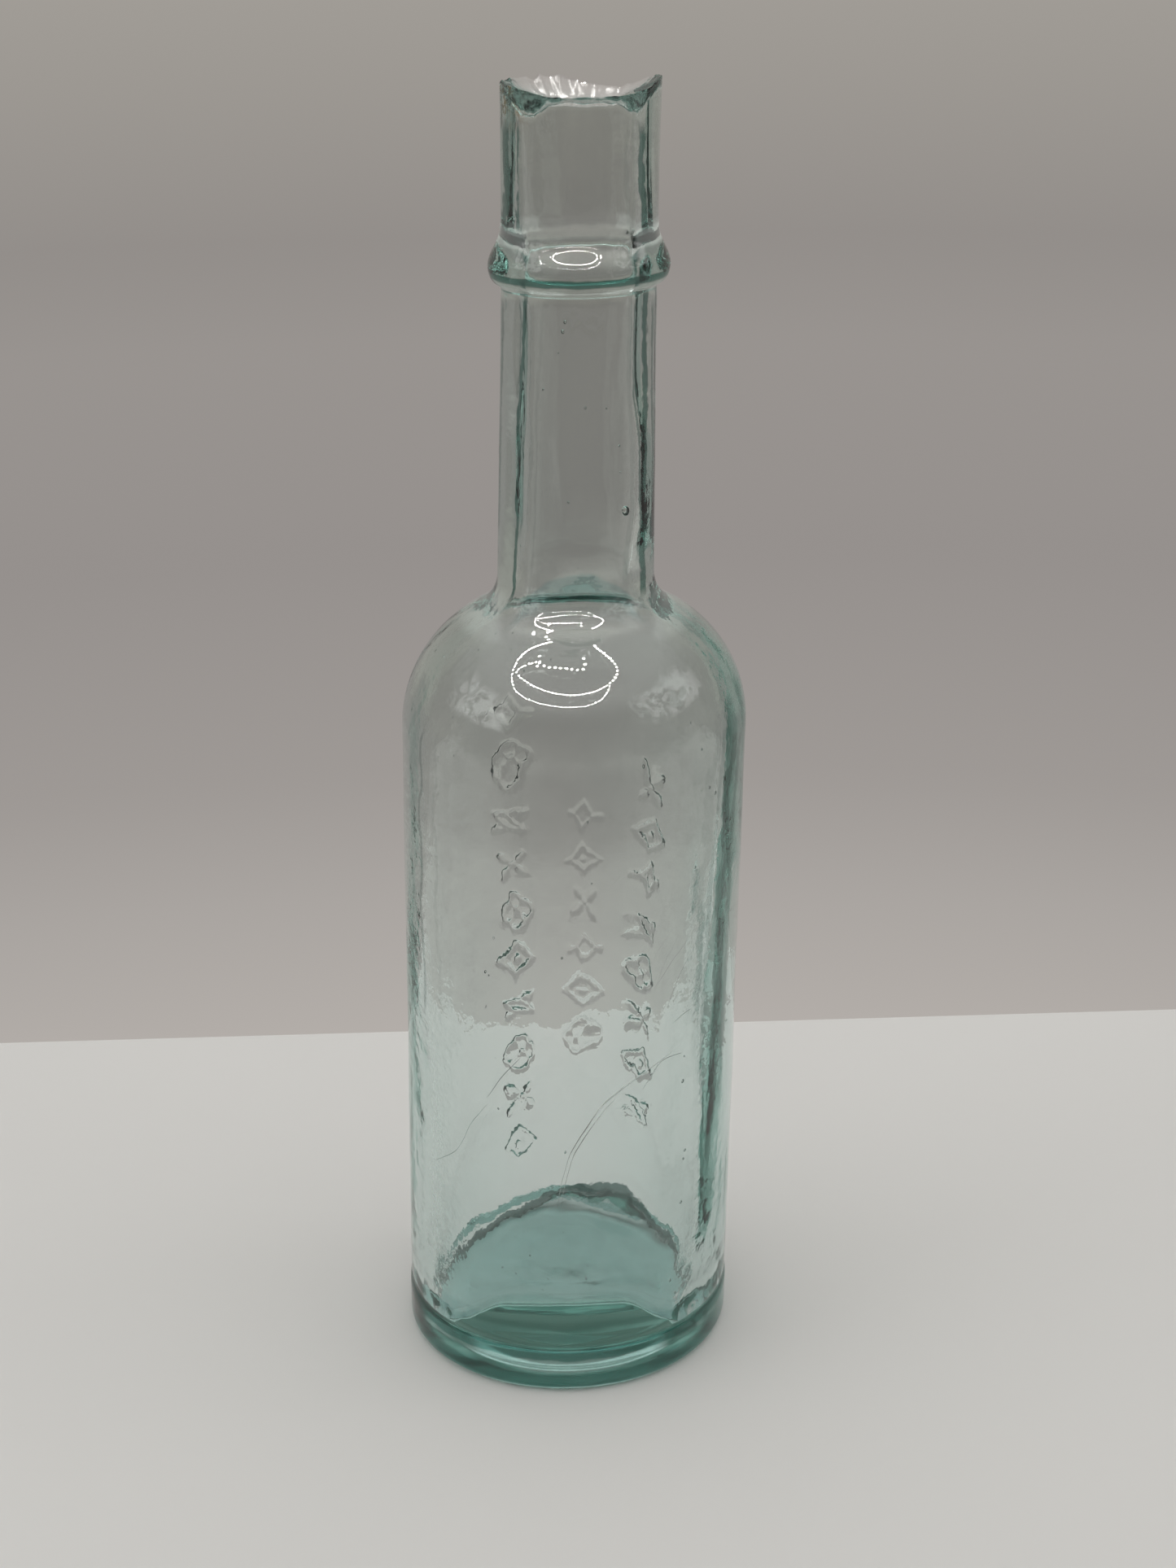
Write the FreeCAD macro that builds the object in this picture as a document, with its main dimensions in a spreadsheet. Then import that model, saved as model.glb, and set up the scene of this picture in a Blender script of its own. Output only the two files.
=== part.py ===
# Relish bottle: one piece of pale aqua glass, blown into a mould.
# Cylindrical body, moulded foot band, round shoulder, straight neck with one
# raised ring, and a mouth that has broken off above the ring.
# Millimetres, +Z up, origin at the centre of the resting ring under the foot.
import FreeCAD, Part
import math
import os
import Sketcher

os.makedirs("parts", exist_ok=True)

V = FreeCAD.Vector
doc = FreeCAD.newDocument("relish_bottle")

# ---------------------------------------------------------------- sizes
sheet = doc.addObject("Spreadsheet::Sheet", "Sizes")
SIZES = [
    # foot and resting ring
    ("foot_radius", 29.0, "outside of the foot band"),
    ("heel_round", 2.2, "rounding between resting ring and foot band"),
    ("foot_wear", 0.4, "glass worn flat off the foot, down to the resting plane"),
    ("rest_inner_radius", 19.5, "inner edge of the flat resting ring"),
    ("push_up", 1.1, "rise of the hollow under the base, at its centre"),
    ("foot_height", 8.3, "top of the foot band, at the mould seam"),
    ("seam_rise", 0.55, "height of the small step at the seam"),
    # outside of body and shoulder
    ("body_low_radius", 28.75, "body radius just above the seam"),
    ("shoulder_centre_radius", 6.3, "centre of the shoulder arc, from the axis"),
    ("shoulder_centre_height", 115.0, "centre of the shoulder arc, above the base"),
    ("shoulder_round", 22.8, "radius of the shoulder arc"),
    ("neck_root_round", 6.5, "hollow curve from shoulder into neck"),
    # neck, ring and what is left of the mouth
    ("neck_low_radius", 13.0, "neck radius above the shoulder"),
    ("neck_high_radius", 12.4, "neck radius under the ring"),
    ("ring_low_height", 188.5, "underside of the neck ring"),
    ("ring_high_height", 195.3, "top of the neck ring"),
    ("ring_round", 3.85, "radius of the ring's bulge"),
    ("ring_blend", 0.8, "small hollow where the ring meets the neck"),
    ("mouth_low_radius", 12.5, "neck radius above the ring"),
    ("mouth_high_radius", 12.55, "neck radius at the break"),
    ("blank_height", 226.0, "height of the neck before the break is cut"),
    # inside
    ("floor_height", 7.7, "inside floor at its centre"),
    ("floor_dome", 170.0, "radius of the gently domed inside floor"),
    ("floor_corner_round", 2.5, "round between inside floor and wall"),
    ("cavity_low_radius", 24.3, "inside radius above the floor corner"),
    ("cavity_shoulder_round", 19.05, "radius of the inside shoulder arc"),
    ("cavity_root_round", 13.5, "inside curve from shoulder into bore"),
    ("bore_low_radius", 9.4, "neck bore above the shoulder"),
    ("bore_high_radius", 9.2, "neck bore at the mouth"),
    # lean of the whole bottle to +X, per millimetre of height
    ("lean", 0.0265, "sideways shift per height: rings stay level"),
]
for row, (alias, value, note) in enumerate(SIZES, start=1):
    sheet.set("A%d" % row, alias)
    sheet.set("B%d" % row, str(value))
    sheet.setAlias("B%d" % row, alias)
    sheet.set("C%d" % row, note)
doc.recompute()


def size(alias):
    return float(sheet.get(alias))


def plane(body, role):
    for feature in body.Origin.OriginFeatures:
        if feature.Role == role:
            return feature
    raise RuntimeError("no origin plane " + role)


class Profile:
    """A closed half-section in the XZ plane, bound to the sheet."""

    def __init__(self, body, name):
        self.sketch = body.newObject("Sketcher::SketchObject", name)
        self.sketch.AttachmentSupport = [(plane(body, "XZ_Plane"), "")]
        self.sketch.MapMode = "FlatFace"

    def line(self, a, b):
        return self.sketch.addGeometry(Part.LineSegment(V(*a, 0), V(*b, 0)), False)

    def arc(self, centre, radius, start, end):
        """Counter-clockwise arc from start to end, in degrees."""
        circle = Part.Circle(V(*centre, 0), V(0, 0, 1), radius)
        return self.sketch.addGeometry(
            Part.ArcOfCircle(circle, math.radians(start), math.radians(end)), False)

    def add(self, *args):
        return self.sketch.addConstraint(Sketcher.Constraint(*args))

    def join(self, a, pa, b, pb):
        self.add("Coincident", a, pa, b, pb)

    def smooth(self, a, pa, b, pb):
        self.add("Tangent", a, pa, b, pb)

    def bind(self, kind, *args):
        """A dimension bound to the sheet: args are geometry, point..., alias."""
        alias = args[-1]
        index = self.add(kind, *args[:-1], size(alias))
        name = "%s_%d" % (alias, index)
        self.sketch.renameConstraint(index, name)
        self.sketch.setExpression("Constraints." + name, "Sizes." + alias)


START, END, MID = 1, 2, 3

body = doc.addObject("PartDesign::Body", "Straight_bottle")
body.Label = "straight_bottle"

# ---------------------------------------------------------------- outside
foot = size("foot_radius")
sc_r, sc_z, sr = size("shoulder_centre_radius"), size("shoulder_centre_height"), size("shoulder_round")
nr, nl = size("neck_root_round"), size("neck_low_radius")
root_r = nl + nr
root_z = sc_z + math.sqrt((sr + nr) ** 2 - (root_r - sc_r) ** 2)
turn = math.degrees(math.atan2(root_z - sc_z, root_r - sc_r))
ring_mid = 0.5 * (size("ring_low_height") + size("ring_high_height"))
ring_half = 0.5 * (size("ring_high_height") - size("ring_low_height"))
ring_reach = math.sqrt(size("ring_round") ** 2 - ring_half ** 2)
ring_c = 0.5 * (size("neck_high_radius") + size("mouth_low_radius")) - ring_reach
ring_open = math.degrees(math.asin(ring_half / size("ring_round")))
if ring_half < size("ring_round") and ring_c + size("ring_round") < size("neck_high_radius") + 1.0:
    raise RuntimeError("neck ring too flat")
rest = size("rest_inner_radius")
push = size("push_up")
wear = size("foot_wear")
dome_radius = (rest ** 2 + (push + wear) ** 2) / (2 * (push + wear))
dome_half = math.degrees(math.asin(rest / dome_radius))
heel = size("heel_round")
top = size("blank_height")

out = Profile(body, "Outside_profile")
axis_line = out.line((0, top), (0, push))
under = out.arc((0, push - dome_radius), dome_radius, 90 - dome_half, 90)
resting = out.line((rest, -wear), (foot - heel, -wear))
heel_arc = out.arc((foot - heel, heel - wear), heel, 270, 360)
band = out.line((foot, heel - wear), (foot, size("foot_height")))
seam = out.line((foot, size("foot_height")),
                (size("body_low_radius"), size("foot_height") + size("seam_rise")))
wall = out.line((size("body_low_radius"), size("foot_height") + size("seam_rise")),
                (sc_r + sr, sc_z))
shoulder = out.arc((sc_r, sc_z), sr, 0, turn)
root = out.arc((root_r, root_z), nr, 180, 180 + turn)
neck = out.line((nl, root_z), (size("neck_high_radius"), size("ring_low_height")))
ring = out.arc((ring_c, ring_mid), size("ring_round"), -ring_open, ring_open)
mouth = out.line((size("mouth_low_radius"), size("ring_high_height")),
                 (size("mouth_high_radius"), top))
lid = out.line((size("mouth_high_radius"), top), (0, top))

out.join(axis_line, END, under, END)
out.join(under, START, resting, START)
out.smooth(resting, END, heel_arc, START)
out.smooth(heel_arc, END, band, START)
out.join(band, END, seam, START)
out.join(seam, END, wall, START)
out.smooth(wall, END, shoulder, START)
out.smooth(shoulder, END, root, END)
out.smooth(root, START, neck, START)
out.join(neck, END, ring, START)
out.join(ring, END, mouth, START)
out.join(mouth, END, lid, START)
out.join(lid, END, axis_line, START)
out.add("PointOnObject", axis_line, START, -2)
out.add("PointOnObject", axis_line, END, -2)
out.add("PointOnObject", under, MID, -2)
out.add("Horizontal", resting)
out.add("Vertical", band)
out.add("Horizontal", lid)
out.bind("DistanceY", axis_line, END, "push_up")
out.bind("DistanceX", resting, START, "rest_inner_radius")
out.bind("DistanceY", resting, START, -1, 1, "foot_wear")
out.bind("DistanceX", band, END, "foot_radius")
out.bind("DistanceY", band, END, "foot_height")
out.bind("Radius", heel_arc, "heel_round")
out.bind("DistanceY", seam, START, seam, END, "seam_rise")
out.bind("DistanceX", wall, START, "body_low_radius")
out.bind("DistanceX", shoulder, MID, "shoulder_centre_radius")
out.bind("DistanceY", shoulder, MID, "shoulder_centre_height")
out.bind("Radius", shoulder, "shoulder_round")
out.bind("Radius", root, "neck_root_round")
out.bind("DistanceX", neck, START, "neck_low_radius")
out.bind("DistanceX", neck, END, "neck_high_radius")
out.bind("DistanceY", neck, END, "ring_low_height")
out.bind("DistanceX", ring, END, "mouth_low_radius")
out.bind("DistanceY", ring, END, "ring_high_height")
out.bind("Radius", ring, "ring_round")
out.bind("DistanceX", mouth, END, "mouth_high_radius")
out.bind("DistanceY", mouth, END, "blank_height")

# ---------------------------------------------------------------- inside
cr, qr, br = size("cavity_shoulder_round"), size("cavity_root_round"), size("bore_low_radius")
in_root_r = br + qr
in_root_z = sc_z + math.sqrt((cr + qr) ** 2 - (in_root_r - sc_r) ** 2)
in_turn = math.degrees(math.atan2(in_root_z - sc_z, in_root_r - sc_r))
fc, low = size("floor_corner_round"), size("cavity_low_radius")
dome, floor = size("floor_dome"), size("floor_height")
corner_r = low - fc
corner_z = floor - dome + math.sqrt(dome ** 2 - corner_r ** 2) + fc

ins = Profile(body, "Inside_profile")
in_axis = ins.line((0, top + 1), (0, floor))
floor_arc = ins.arc((0, floor - dome), dome,
                    90 - math.degrees(math.asin(corner_r / dome)), 90)
corner = ins.arc((corner_r, corner_z), fc, 265, 360)
in_wall = ins.line((low, corner_z), (sc_r + cr, sc_z))
in_shoulder = ins.arc((sc_r, sc_z), cr, 0, in_turn)
in_root = ins.arc((in_root_r, in_root_z), qr, 180, 180 + in_turn)
bore = ins.line((br, in_root_z), (size("bore_high_radius"), top + 1))
in_lid = ins.line((size("bore_high_radius"), top + 1), (0, top + 1))

ins.join(in_axis, END, floor_arc, END)
ins.smooth(floor_arc, START, corner, START)
ins.smooth(corner, END, in_wall, START)
ins.smooth(in_wall, END, in_shoulder, START)
ins.smooth(in_shoulder, END, in_root, END)
ins.smooth(in_root, START, bore, START)
ins.join(bore, END, in_lid, START)
ins.join(in_lid, END, in_axis, START)
ins.add("PointOnObject", in_axis, START, -2)
ins.add("PointOnObject", in_axis, END, -2)
ins.add("PointOnObject", floor_arc, MID, -2)
ins.add("Horizontal", in_lid)
ins.bind("DistanceY", in_axis, END, "floor_height")
ins.bind("Radius", floor_arc, "floor_dome")
ins.bind("Radius", corner, "floor_corner_round")
ins.bind("DistanceX", in_wall, START, "cavity_low_radius")
ins.bind("DistanceX", in_shoulder, MID, "shoulder_centre_radius")
ins.bind("DistanceY", in_shoulder, MID, "shoulder_centre_height")
ins.bind("Radius", in_shoulder, "cavity_shoulder_round")
ins.bind("Radius", in_root, "cavity_root_round")
ins.bind("DistanceX", bore, START, "bore_low_radius")
ins.bind("DistanceX", bore, END, "bore_high_radius")
index = ins.add("DistanceY", bore, END, top + 1)
ins.sketch.renameConstraint(index, "cavity_top")
ins.sketch.setExpression("Constraints.cavity_top", "Sizes.blank_height + 1")
doc.recompute()

for profile in (out, ins):
    if profile.sketch.solve() != 0:
        raise RuntimeError(profile.sketch.Name + " does not solve")
    if not profile.sketch.FullyConstrained:
        raise RuntimeError(profile.sketch.Name + " is not fully constrained")

# ---------------------------------------------------------------- turn it
blank = body.newObject("PartDesign::Revolution", "Glass_blank")
blank.Profile = out.sketch
blank.ReferenceAxis = (out.sketch, ["V_Axis"])
blank.Angle = 360.0
doc.recompute()


def edges_at(shape, radius, height):
    """Names of the full circles of that radius at that height."""
    found = []
    for number, edge in enumerate(shape.Edges, start=1):
        if edge.Degenerated:
            continue
        curve = edge.Curve
        if (isinstance(curve, Part.Circle) and abs(curve.Radius - radius) < 0.01
                and abs(curve.Center.z - height) < 0.01):
            found.append("Edge%d" % number)
    return found


ring_edges = (edges_at(blank.Shape, size("neck_high_radius"), size("ring_low_height"))
              + edges_at(blank.Shape, size("mouth_low_radius"), size("ring_high_height")))
if len(ring_edges) < 2:
    raise RuntimeError("ring edges not found")
blend = body.newObject("PartDesign::Fillet", "Ring_blend")
blend.Base = (blank, ring_edges)
blend.Radius = size("ring_blend")
blend.setExpression("Radius", "Sizes.ring_blend")
doc.recompute()

solid_volume = blend.Shape.Volume
cavity = body.newObject("PartDesign::Groove", "Cavity")
cavity.Profile = ins.sketch
cavity.ReferenceAxis = (ins.sketch, ["V_Axis"])
cavity.Angle = 360.0
doc.recompute()
removed = solid_volume - cavity.Shape.Volume
if removed < 200000:
    raise RuntimeError("the cavity cut nothing: %.0f" % removed)

# ---------------------------------------------------------------- lean
# The glass leans to +X while its rings stay level, as it sagged in annealing:
# every level is moved sideways by its height times the lean.
shear = FreeCAD.Matrix()
shear.A13 = size("lean")
leaning = doc.addObject("Part::Feature", "Leaning_bottle")
leaning.Label = "leaning_bottle"
leaning.Shape = body.Shape.transformGeometry(shear)
leaning.Placement = FreeCAD.Placement(V(0, 0, 0), FreeCAD.Rotation())

# The foot is worn flat, so the bottle stands on a true plane at height zero.
wear_box = doc.addObject("Part::Box", "Wear_box")
wear_box.Label = "wear_box"
wear_box.setExpression("Length", "4 * Sizes.foot_radius")
wear_box.setExpression("Width", "4 * Sizes.foot_radius")
wear_box.setExpression("Height", "10 * Sizes.foot_wear")
wear_box.setExpression("Placement.Base.x", "-2 * Sizes.foot_radius")
wear_box.setExpression("Placement.Base.y", "-2 * Sizes.foot_radius")
wear_box.setExpression("Placement.Base.z", "-10 * Sizes.foot_wear")
standing = doc.addObject("Part::Cut", "Standing_bottle")
standing.Label = "standing_bottle"
standing.Base = leaning
standing.Tool = wear_box
doc.recompute()
if not standing.Shape.Volume < leaning.Shape.Volume - 50:
    raise RuntimeError("the foot was not worn flat")

# ---------------------------------------------------------------- break
# Height of the broken edge round the mouth: azimuth in degrees from +X,
# counter-clockwise from above, height at the outside, height at the bore.
BREAK = [
    (0, 220.2, 218.3), (15, 219.9, 218.0), (30, 219.3, 217.3), (45, 218.2, 216.5),
    (60, 217.4, 215.9), (75, 217.7, 215.8), (90, 218.3, 215.8), (105, 219.4, 216.0),
    (120, 219.6, 216.3), (135, 219.4, 216.6), (150, 219.5, 217.0), (165, 219.4, 217.4),
    (180, 219.2, 217.5), (190, 219.3, 217.3), (200, 219.4, 216.5), (212, 219.3, 215.2),
    (225, 219.0, 215.0), (240, 218.3, 216.8), (255, 218.0, 217.3), (270, 218.1, 217.1),
    (285, 218.1, 217.2), (300, 218.2, 217.0), (312, 218.4, 215.6), (322, 218.9, 215.2),
    (332, 219.5, 216.3), (345, 220.2, 217.8),
]
r_bore, r_out, r_far = size("bore_high_radius"), size("mouth_high_radius"), 17.0


def station(azimuth, radius, height):
    a = math.radians(azimuth)
    return V(size("lean") * 219.0 + radius * math.cos(a), radius * math.sin(a), height)


middle = V(size("lean") * 219.0, 0, 218.8)
crown = V(size("lean") * 219.0, 0, 232.0)
faces = []


def triangle(a, b, c):
    faces.append(Part.Face(Part.makePolygon([a, b, c, a])))


count = len(BREAK)
for i in range(count):
    a0, o0, i0 = BREAK[i]
    a1, o1, i1 = BREAK[(i + 1) % count]
    p_in0, p_in1 = station(a0, r_bore, i0), station(a1, r_bore, i1)
    p_out0, p_out1 = station(a0, r_out, o0), station(a1, r_out, o1)
    p_far0, p_far1 = station(a0, r_far, o0), station(a1, r_far, o1)
    p_top0, p_top1 = station(a0, r_far, 232.0), station(a1, r_far, 232.0)
    triangle(middle, p_in0, p_in1)
    triangle(p_in0, p_out0, p_out1)
    triangle(p_in0, p_out1, p_in1)
    triangle(p_out0, p_far0, p_far1)
    triangle(p_out0, p_far1, p_out1)
    triangle(p_far0, p_top0, p_top1)
    triangle(p_far0, p_top1, p_far1)
    triangle(crown, p_top1, p_top0)
cutter_solid = Part.makeSolid(Part.makeShell(faces))
if cutter_solid.Volume < 0:
    cutter_solid.reverse()
cutter = doc.addObject("Part::Feature", "Break_cutter")
cutter.Label = "break_cutter"
cutter.Shape = cutter_solid
cutter.Placement = FreeCAD.Placement(V(0, 0, 0), FreeCAD.Rotation())
if not cutter.Shape.isValid():
    raise RuntimeError("break cutter is not valid")

bottle = doc.addObject("Part::Cut", "Bottle")
bottle.Label = "bottle"
bottle.Base = standing
bottle.Tool = cutter
bottle.Placement = FreeCAD.Placement(V(0, 0, 0), FreeCAD.Rotation())
doc.recompute()

if not bottle.Shape.Volume < standing.Shape.Volume - 500:
    raise RuntimeError("the break cut nothing")

# ---------------------------------------------------------------- check, write
for thing in doc.Objects:
    for flag in ("Invalid", "Error"):
        if flag in thing.State:
            raise RuntimeError("%s is %s" % (thing.Label, flag))

for part in (bottle,):
    shape = part.Shape
    if shape.isNull() or not shape.isValid() or len(shape.Solids) != 1:
        raise RuntimeError("%s is not one valid solid" % part.Label)
    shape.exportStep("parts/%s.step" % part.Label)
    box = shape.optimalBoundingBox()
    print("%s: volume %.1f ml, box %.2f %.2f %.2f to %.2f %.2f %.2f, mass at 2.5 g/ml %.0f g" % (
        part.Label, shape.Volume / 1000, box.XMin, box.YMin, box.ZMin,
        box.XMax, box.YMax, box.ZMax, shape.Volume / 1000 * 2.5))
room = Part.Face(ins.sketch.Shape.Wires).revolve(V(0, 0, 0), V(0, 0, 1), 360)
room = room.common(Part.makeBox(120, 120, size("ring_low_height"), V(-60, -60, 0)))
print("room inside, below the ring: %.0f ml" % (room.Volume / 1000))
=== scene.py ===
# Relish bottle: the looks of one piece of pale aqua glass.
# Metres in Blender; the numbers below are millimetres in the bottle's own frame
# (+Z up, -Y to the front) and are scaled once, where the mesh is made.
import bpy
import math
import numpy as np
from mathutils import Matrix


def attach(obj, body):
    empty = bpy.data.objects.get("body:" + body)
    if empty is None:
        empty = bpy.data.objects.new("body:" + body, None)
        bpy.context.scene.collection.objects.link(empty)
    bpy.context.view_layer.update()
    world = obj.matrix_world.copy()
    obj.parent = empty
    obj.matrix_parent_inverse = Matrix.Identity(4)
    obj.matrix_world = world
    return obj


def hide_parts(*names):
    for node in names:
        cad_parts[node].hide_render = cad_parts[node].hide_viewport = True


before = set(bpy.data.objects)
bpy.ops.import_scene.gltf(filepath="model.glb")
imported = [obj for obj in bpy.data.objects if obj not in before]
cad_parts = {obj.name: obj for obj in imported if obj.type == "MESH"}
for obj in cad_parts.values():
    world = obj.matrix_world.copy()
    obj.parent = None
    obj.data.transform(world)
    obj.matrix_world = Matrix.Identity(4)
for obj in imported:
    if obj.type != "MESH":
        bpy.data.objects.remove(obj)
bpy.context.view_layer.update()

MM = 0.001
LEAN = 0.0265          # sideways shift per height, towards +X
TAU = 2 * math.pi


# ------------------------------------------------------------------ helpers
def smooth(x, a, b):
    """0 below a, 1 above b, smooth between."""
    t = np.clip((np.asarray(x, float) - a) / (b - a), 0, 1)
    return t * t * (3 - 2 * t)


def bump_at(x, centre, width):
    return np.exp(-((np.asarray(x, float) - centre) / width) ** 2)


def turn(a, b):
    """Difference of two azimuths in degrees, -180 to 180."""
    return (np.asarray(a, float) - b + 180) % 360 - 180


def waves(seed, count, short, long_, flat=1.0, radius=28.0):
    """A smooth random field over azimuth (degrees) and height (mm) with spread 1.
    short and long_ are its wavelengths; flat > 1 draws it out upwards."""
    rng = np.random.default_rng(seed)
    lam = np.exp(rng.uniform(math.log(short), math.log(long_), count))
    phi = rng.uniform(0, TAU, count)
    kt = np.round(TAU / lam * np.cos(phi) * radius)
    kz = TAU / lam * np.sin(phi) / flat
    ph = rng.uniform(0, TAU, count)

    def field(az, z):
        a = np.radians(az)
        total = np.zeros(np.broadcast(a, z).shape)
        for i in range(count):
            total += np.cos(kt[i] * a + kz[i] * z + ph[i])
        return total * math.sqrt(2.0 / count)
    return field


# ------------------------------------------------------------------ outside
SC_R, SC_Z, S_R = 6.3, 115.0, 22.8        # shoulder arc
NR_R, NR_C = 6.5, 19.5                    # hollow curve into the neck
ROOT_Z = SC_Z + math.sqrt((S_R + NR_R) ** 2 - (NR_C - SC_R) ** 2)
TURN = math.atan2(ROOT_Z - SC_Z, NR_C - SC_R)


def outer_stations():
    """Half-section of the outside from the middle of the underside to the top of the
    straight mouth: rows of (r, z), four fine steps to each coarse one."""
    pts = []

    def run(count, curve):
        n = count * K
        start = 0 if not pts else 1
        for i in range(start, n + 1):
            pts.append(curve(i / n))

    def through(knots):
        knots = np.array(knots, float)
        s = np.r_[0, np.cumsum(np.hypot(*np.diff(knots, axis=0).T))]
        s /= s[-1]

        def curve(t):
            # Catmull-Rom through the knots
            i = int(min(np.searchsorted(s, t, side="right") - 1, len(s) - 2))
            u = (t - s[i]) / (s[i + 1] - s[i])
            p0 = knots[max(i - 1, 0)]; p1 = knots[i]; p2 = knots[i + 1]; p3 = knots[min(i + 2, len(s) - 1)]
            m1 = (p2 - p0) / (s[i + 1] - s[max(i - 1, 0)]) * (s[i + 1] - s[i])
            m2 = (p3 - p1) / (s[min(i + 2, len(s) - 1)] - s[i]) * (s[i + 1] - s[i])
            h = (2 * u**3 - 3 * u**2 + 1) * p1 + (u**3 - 2 * u**2 + u) * m1 + (-2 * u**3 + 3 * u**2) * p2 + (u**3 - u**2) * m2
            return float(h[0]), float(h[1])
        return curve

    # underside (its heights are set round the bottle in build_glass), heel, foot band, seam
    run(13, lambda t: (0.4 + t * (29.0 - HEEL - 0.4), 0.0))
    run(5, lambda t: (29.0 - HEEL + HEEL * math.sin(t * math.pi / 2), HEEL - HEEL * math.cos(t * math.pi / 2)))
    run(3, lambda t: (29.0, HEEL + t * (7.9 - HEEL)))
    run(3, through([(29.0, 7.9), (28.95, 8.2), (28.72, 8.5), (28.5, 8.72), (28.5, 8.95), (28.68, 9.2), (28.76, 9.5)]))
    # wall
    run(72, through([(28.76, 9.5), (28.88, 16), (28.9, 40), (28.92, 65), (28.95, 84), (29.05, 92), (29.08, 100), (29.07, 106), (29.1, 115.0)]))
    # shoulder, root, neck
    run(24, lambda t: (SC_R + S_R * math.cos(t * TURN), SC_Z + S_R * math.sin(t * TURN)))
    run(7, lambda t: (NR_C - NR_R * math.cos(TURN * (1 - t)), ROOT_Z - NR_R * math.sin(TURN * (1 - t))))
    run(27, lambda t: (13.0 - 0.6 * t, ROOT_Z + t * (187.9 - ROOT_Z)))
    # ring: nearly flat underneath, sloping gently into the mouth above
    run(17, through([(12.4, 187.9), (12.5, 188.4), (13.0, 188.75), (13.7, 189.1), (14.35, 190.2), (14.52, 191.5),
                     (14.36, 192.6), (13.96, 193.6), (13.47, 194.6), (13.02, 195.5), (12.7, 196.4), (12.54, 197.3), (12.5, 198.5)]))
    return np.array(pts)


K = 4                  # fine steps in a coarse cell
N = 172                # coarse cells round
MOUTH_ROWS = 14
PUSH = 1.1
HEEL = 2.2


# the broken edge: azimuth, outside height, bore height
BREAK = [
    (0, 219.9, 218.3), (15, 219.9, 218.0), (30, 219.3, 217.3), (45, 218.2, 216.5), (52, 217.8, 216.1), (60, 217.4, 215.9),
    (75, 217.7, 215.8), (90, 218.3, 215.8), (98, 218.9, 215.9), (105, 219.4, 216.0), (112, 219.0, 216.2), (120, 219.6, 216.3),
    (125, 218.7, 216.4), (132, 219.4, 216.5), (142, 219.4, 216.8), (150, 219.5, 217.0), (165, 219.4, 217.4), (180, 219.2, 217.5),
    (190, 219.3, 217.3), (200, 219.4, 216.5), (212, 219.3, 215.2), (225, 219.0, 215.0), (240, 218.3, 216.8), (255, 218.0, 217.3),
    (270, 218.1, 217.1), (285, 218.1, 217.2), (300, 218.2, 217.0), (312, 218.4, 215.6), (322, 218.9, 215.2), (332, 219.5, 216.3),
    (345, 219.9, 217.8),
]


def break_height(az):
    t = np.array(BREAK)
    a = np.r_[t[-2:, 0] - 360, t[:, 0], t[:2, 0] + 360]
    out = []
    for col in (1, 2):
        v = np.r_[t[-2:, col], t[:, col], t[:2, col]]
        out.append(np.interp(az % 360, a, v))
    return out


# ------------------------------------------------------------------ relief
# Low raised ornament on the back of the body, in three columns: open lozenges, quatrefoils,
# leaf pairs and beads. It fills the place of a raised inscription and reads as plain ornament.
def d_lozenge(u, v, a, b, t):
    return np.abs(np.abs(u) * b + np.abs(v) * a - a * b) / math.hypot(a, b) - t / 2


def d_disc(u, v, r):
    return np.hypot(u, v) - r


def d_quatrefoil(u, v, c, r, t):
    d = np.full(u.shape, 9e9)
    for x, y in ((c, 0), (-c, 0), (0, c), (0, -c)):
        d = np.minimum(d, np.hypot(u - x, v - y) - r)
    return np.abs(d) - t / 2


def d_leaf(u, v, long_, wide):
    """A pointed leaf along u: the part shared by two discs."""
    r = (long_ ** 2 + wide ** 2) / (4 * wide)
    off = r - wide / 2
    return np.maximum(np.hypot(u, v - off) - r, np.hypot(u, v + off) - r)


def rot(u, v, degrees):
    c, s = math.cos(math.radians(degrees)), math.sin(math.radians(degrees))
    return u * c + v * s, -u * s + v * c


def motif(kind, u, v):
    if kind == 0:      # lozenge with a bead
        return np.minimum(d_lozenge(u, v, 4.0, 3.3, 1.05), d_disc(u, v, 0.8))
    if kind == 1:      # quatrefoil
        return np.minimum(d_quatrefoil(u, v, 1.75, 1.7, 0.95), d_disc(u, v, 0.55))
    if kind == 2:      # a pair of leaves crossing, one whole and one cut by it
        a = d_leaf(*rot(u, v, 28), 8.2, 2.5)
        b = d_leaf(*rot(u, v, -28), 8.2, 2.5)
        return np.minimum(np.abs(a + 0.35) - 0.42, np.maximum(np.abs(b + 0.35) - 0.42, -(a - 0.3)))
    if kind == 3:      # four leaves round a bead
        d = d_disc(u, v, 0.7)
        for k in range(4):
            x, y = rot(u, v, 45 + 90 * k)
            d = np.minimum(d, d_leaf(x - 2.6, y, 3.6, 1.7))
        return d
    if kind == 4:      # small lozenge between two beads
        d = d_lozenge(u, v, 2.3, 2.9, 0.95)
        return np.minimum(d, np.minimum(d_disc(u - 3.6, v, 0.7), d_disc(u + 3.6, v, 0.7)))
    return d_lozenge(u, v, 3.2, 1.7, 0.9)


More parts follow.
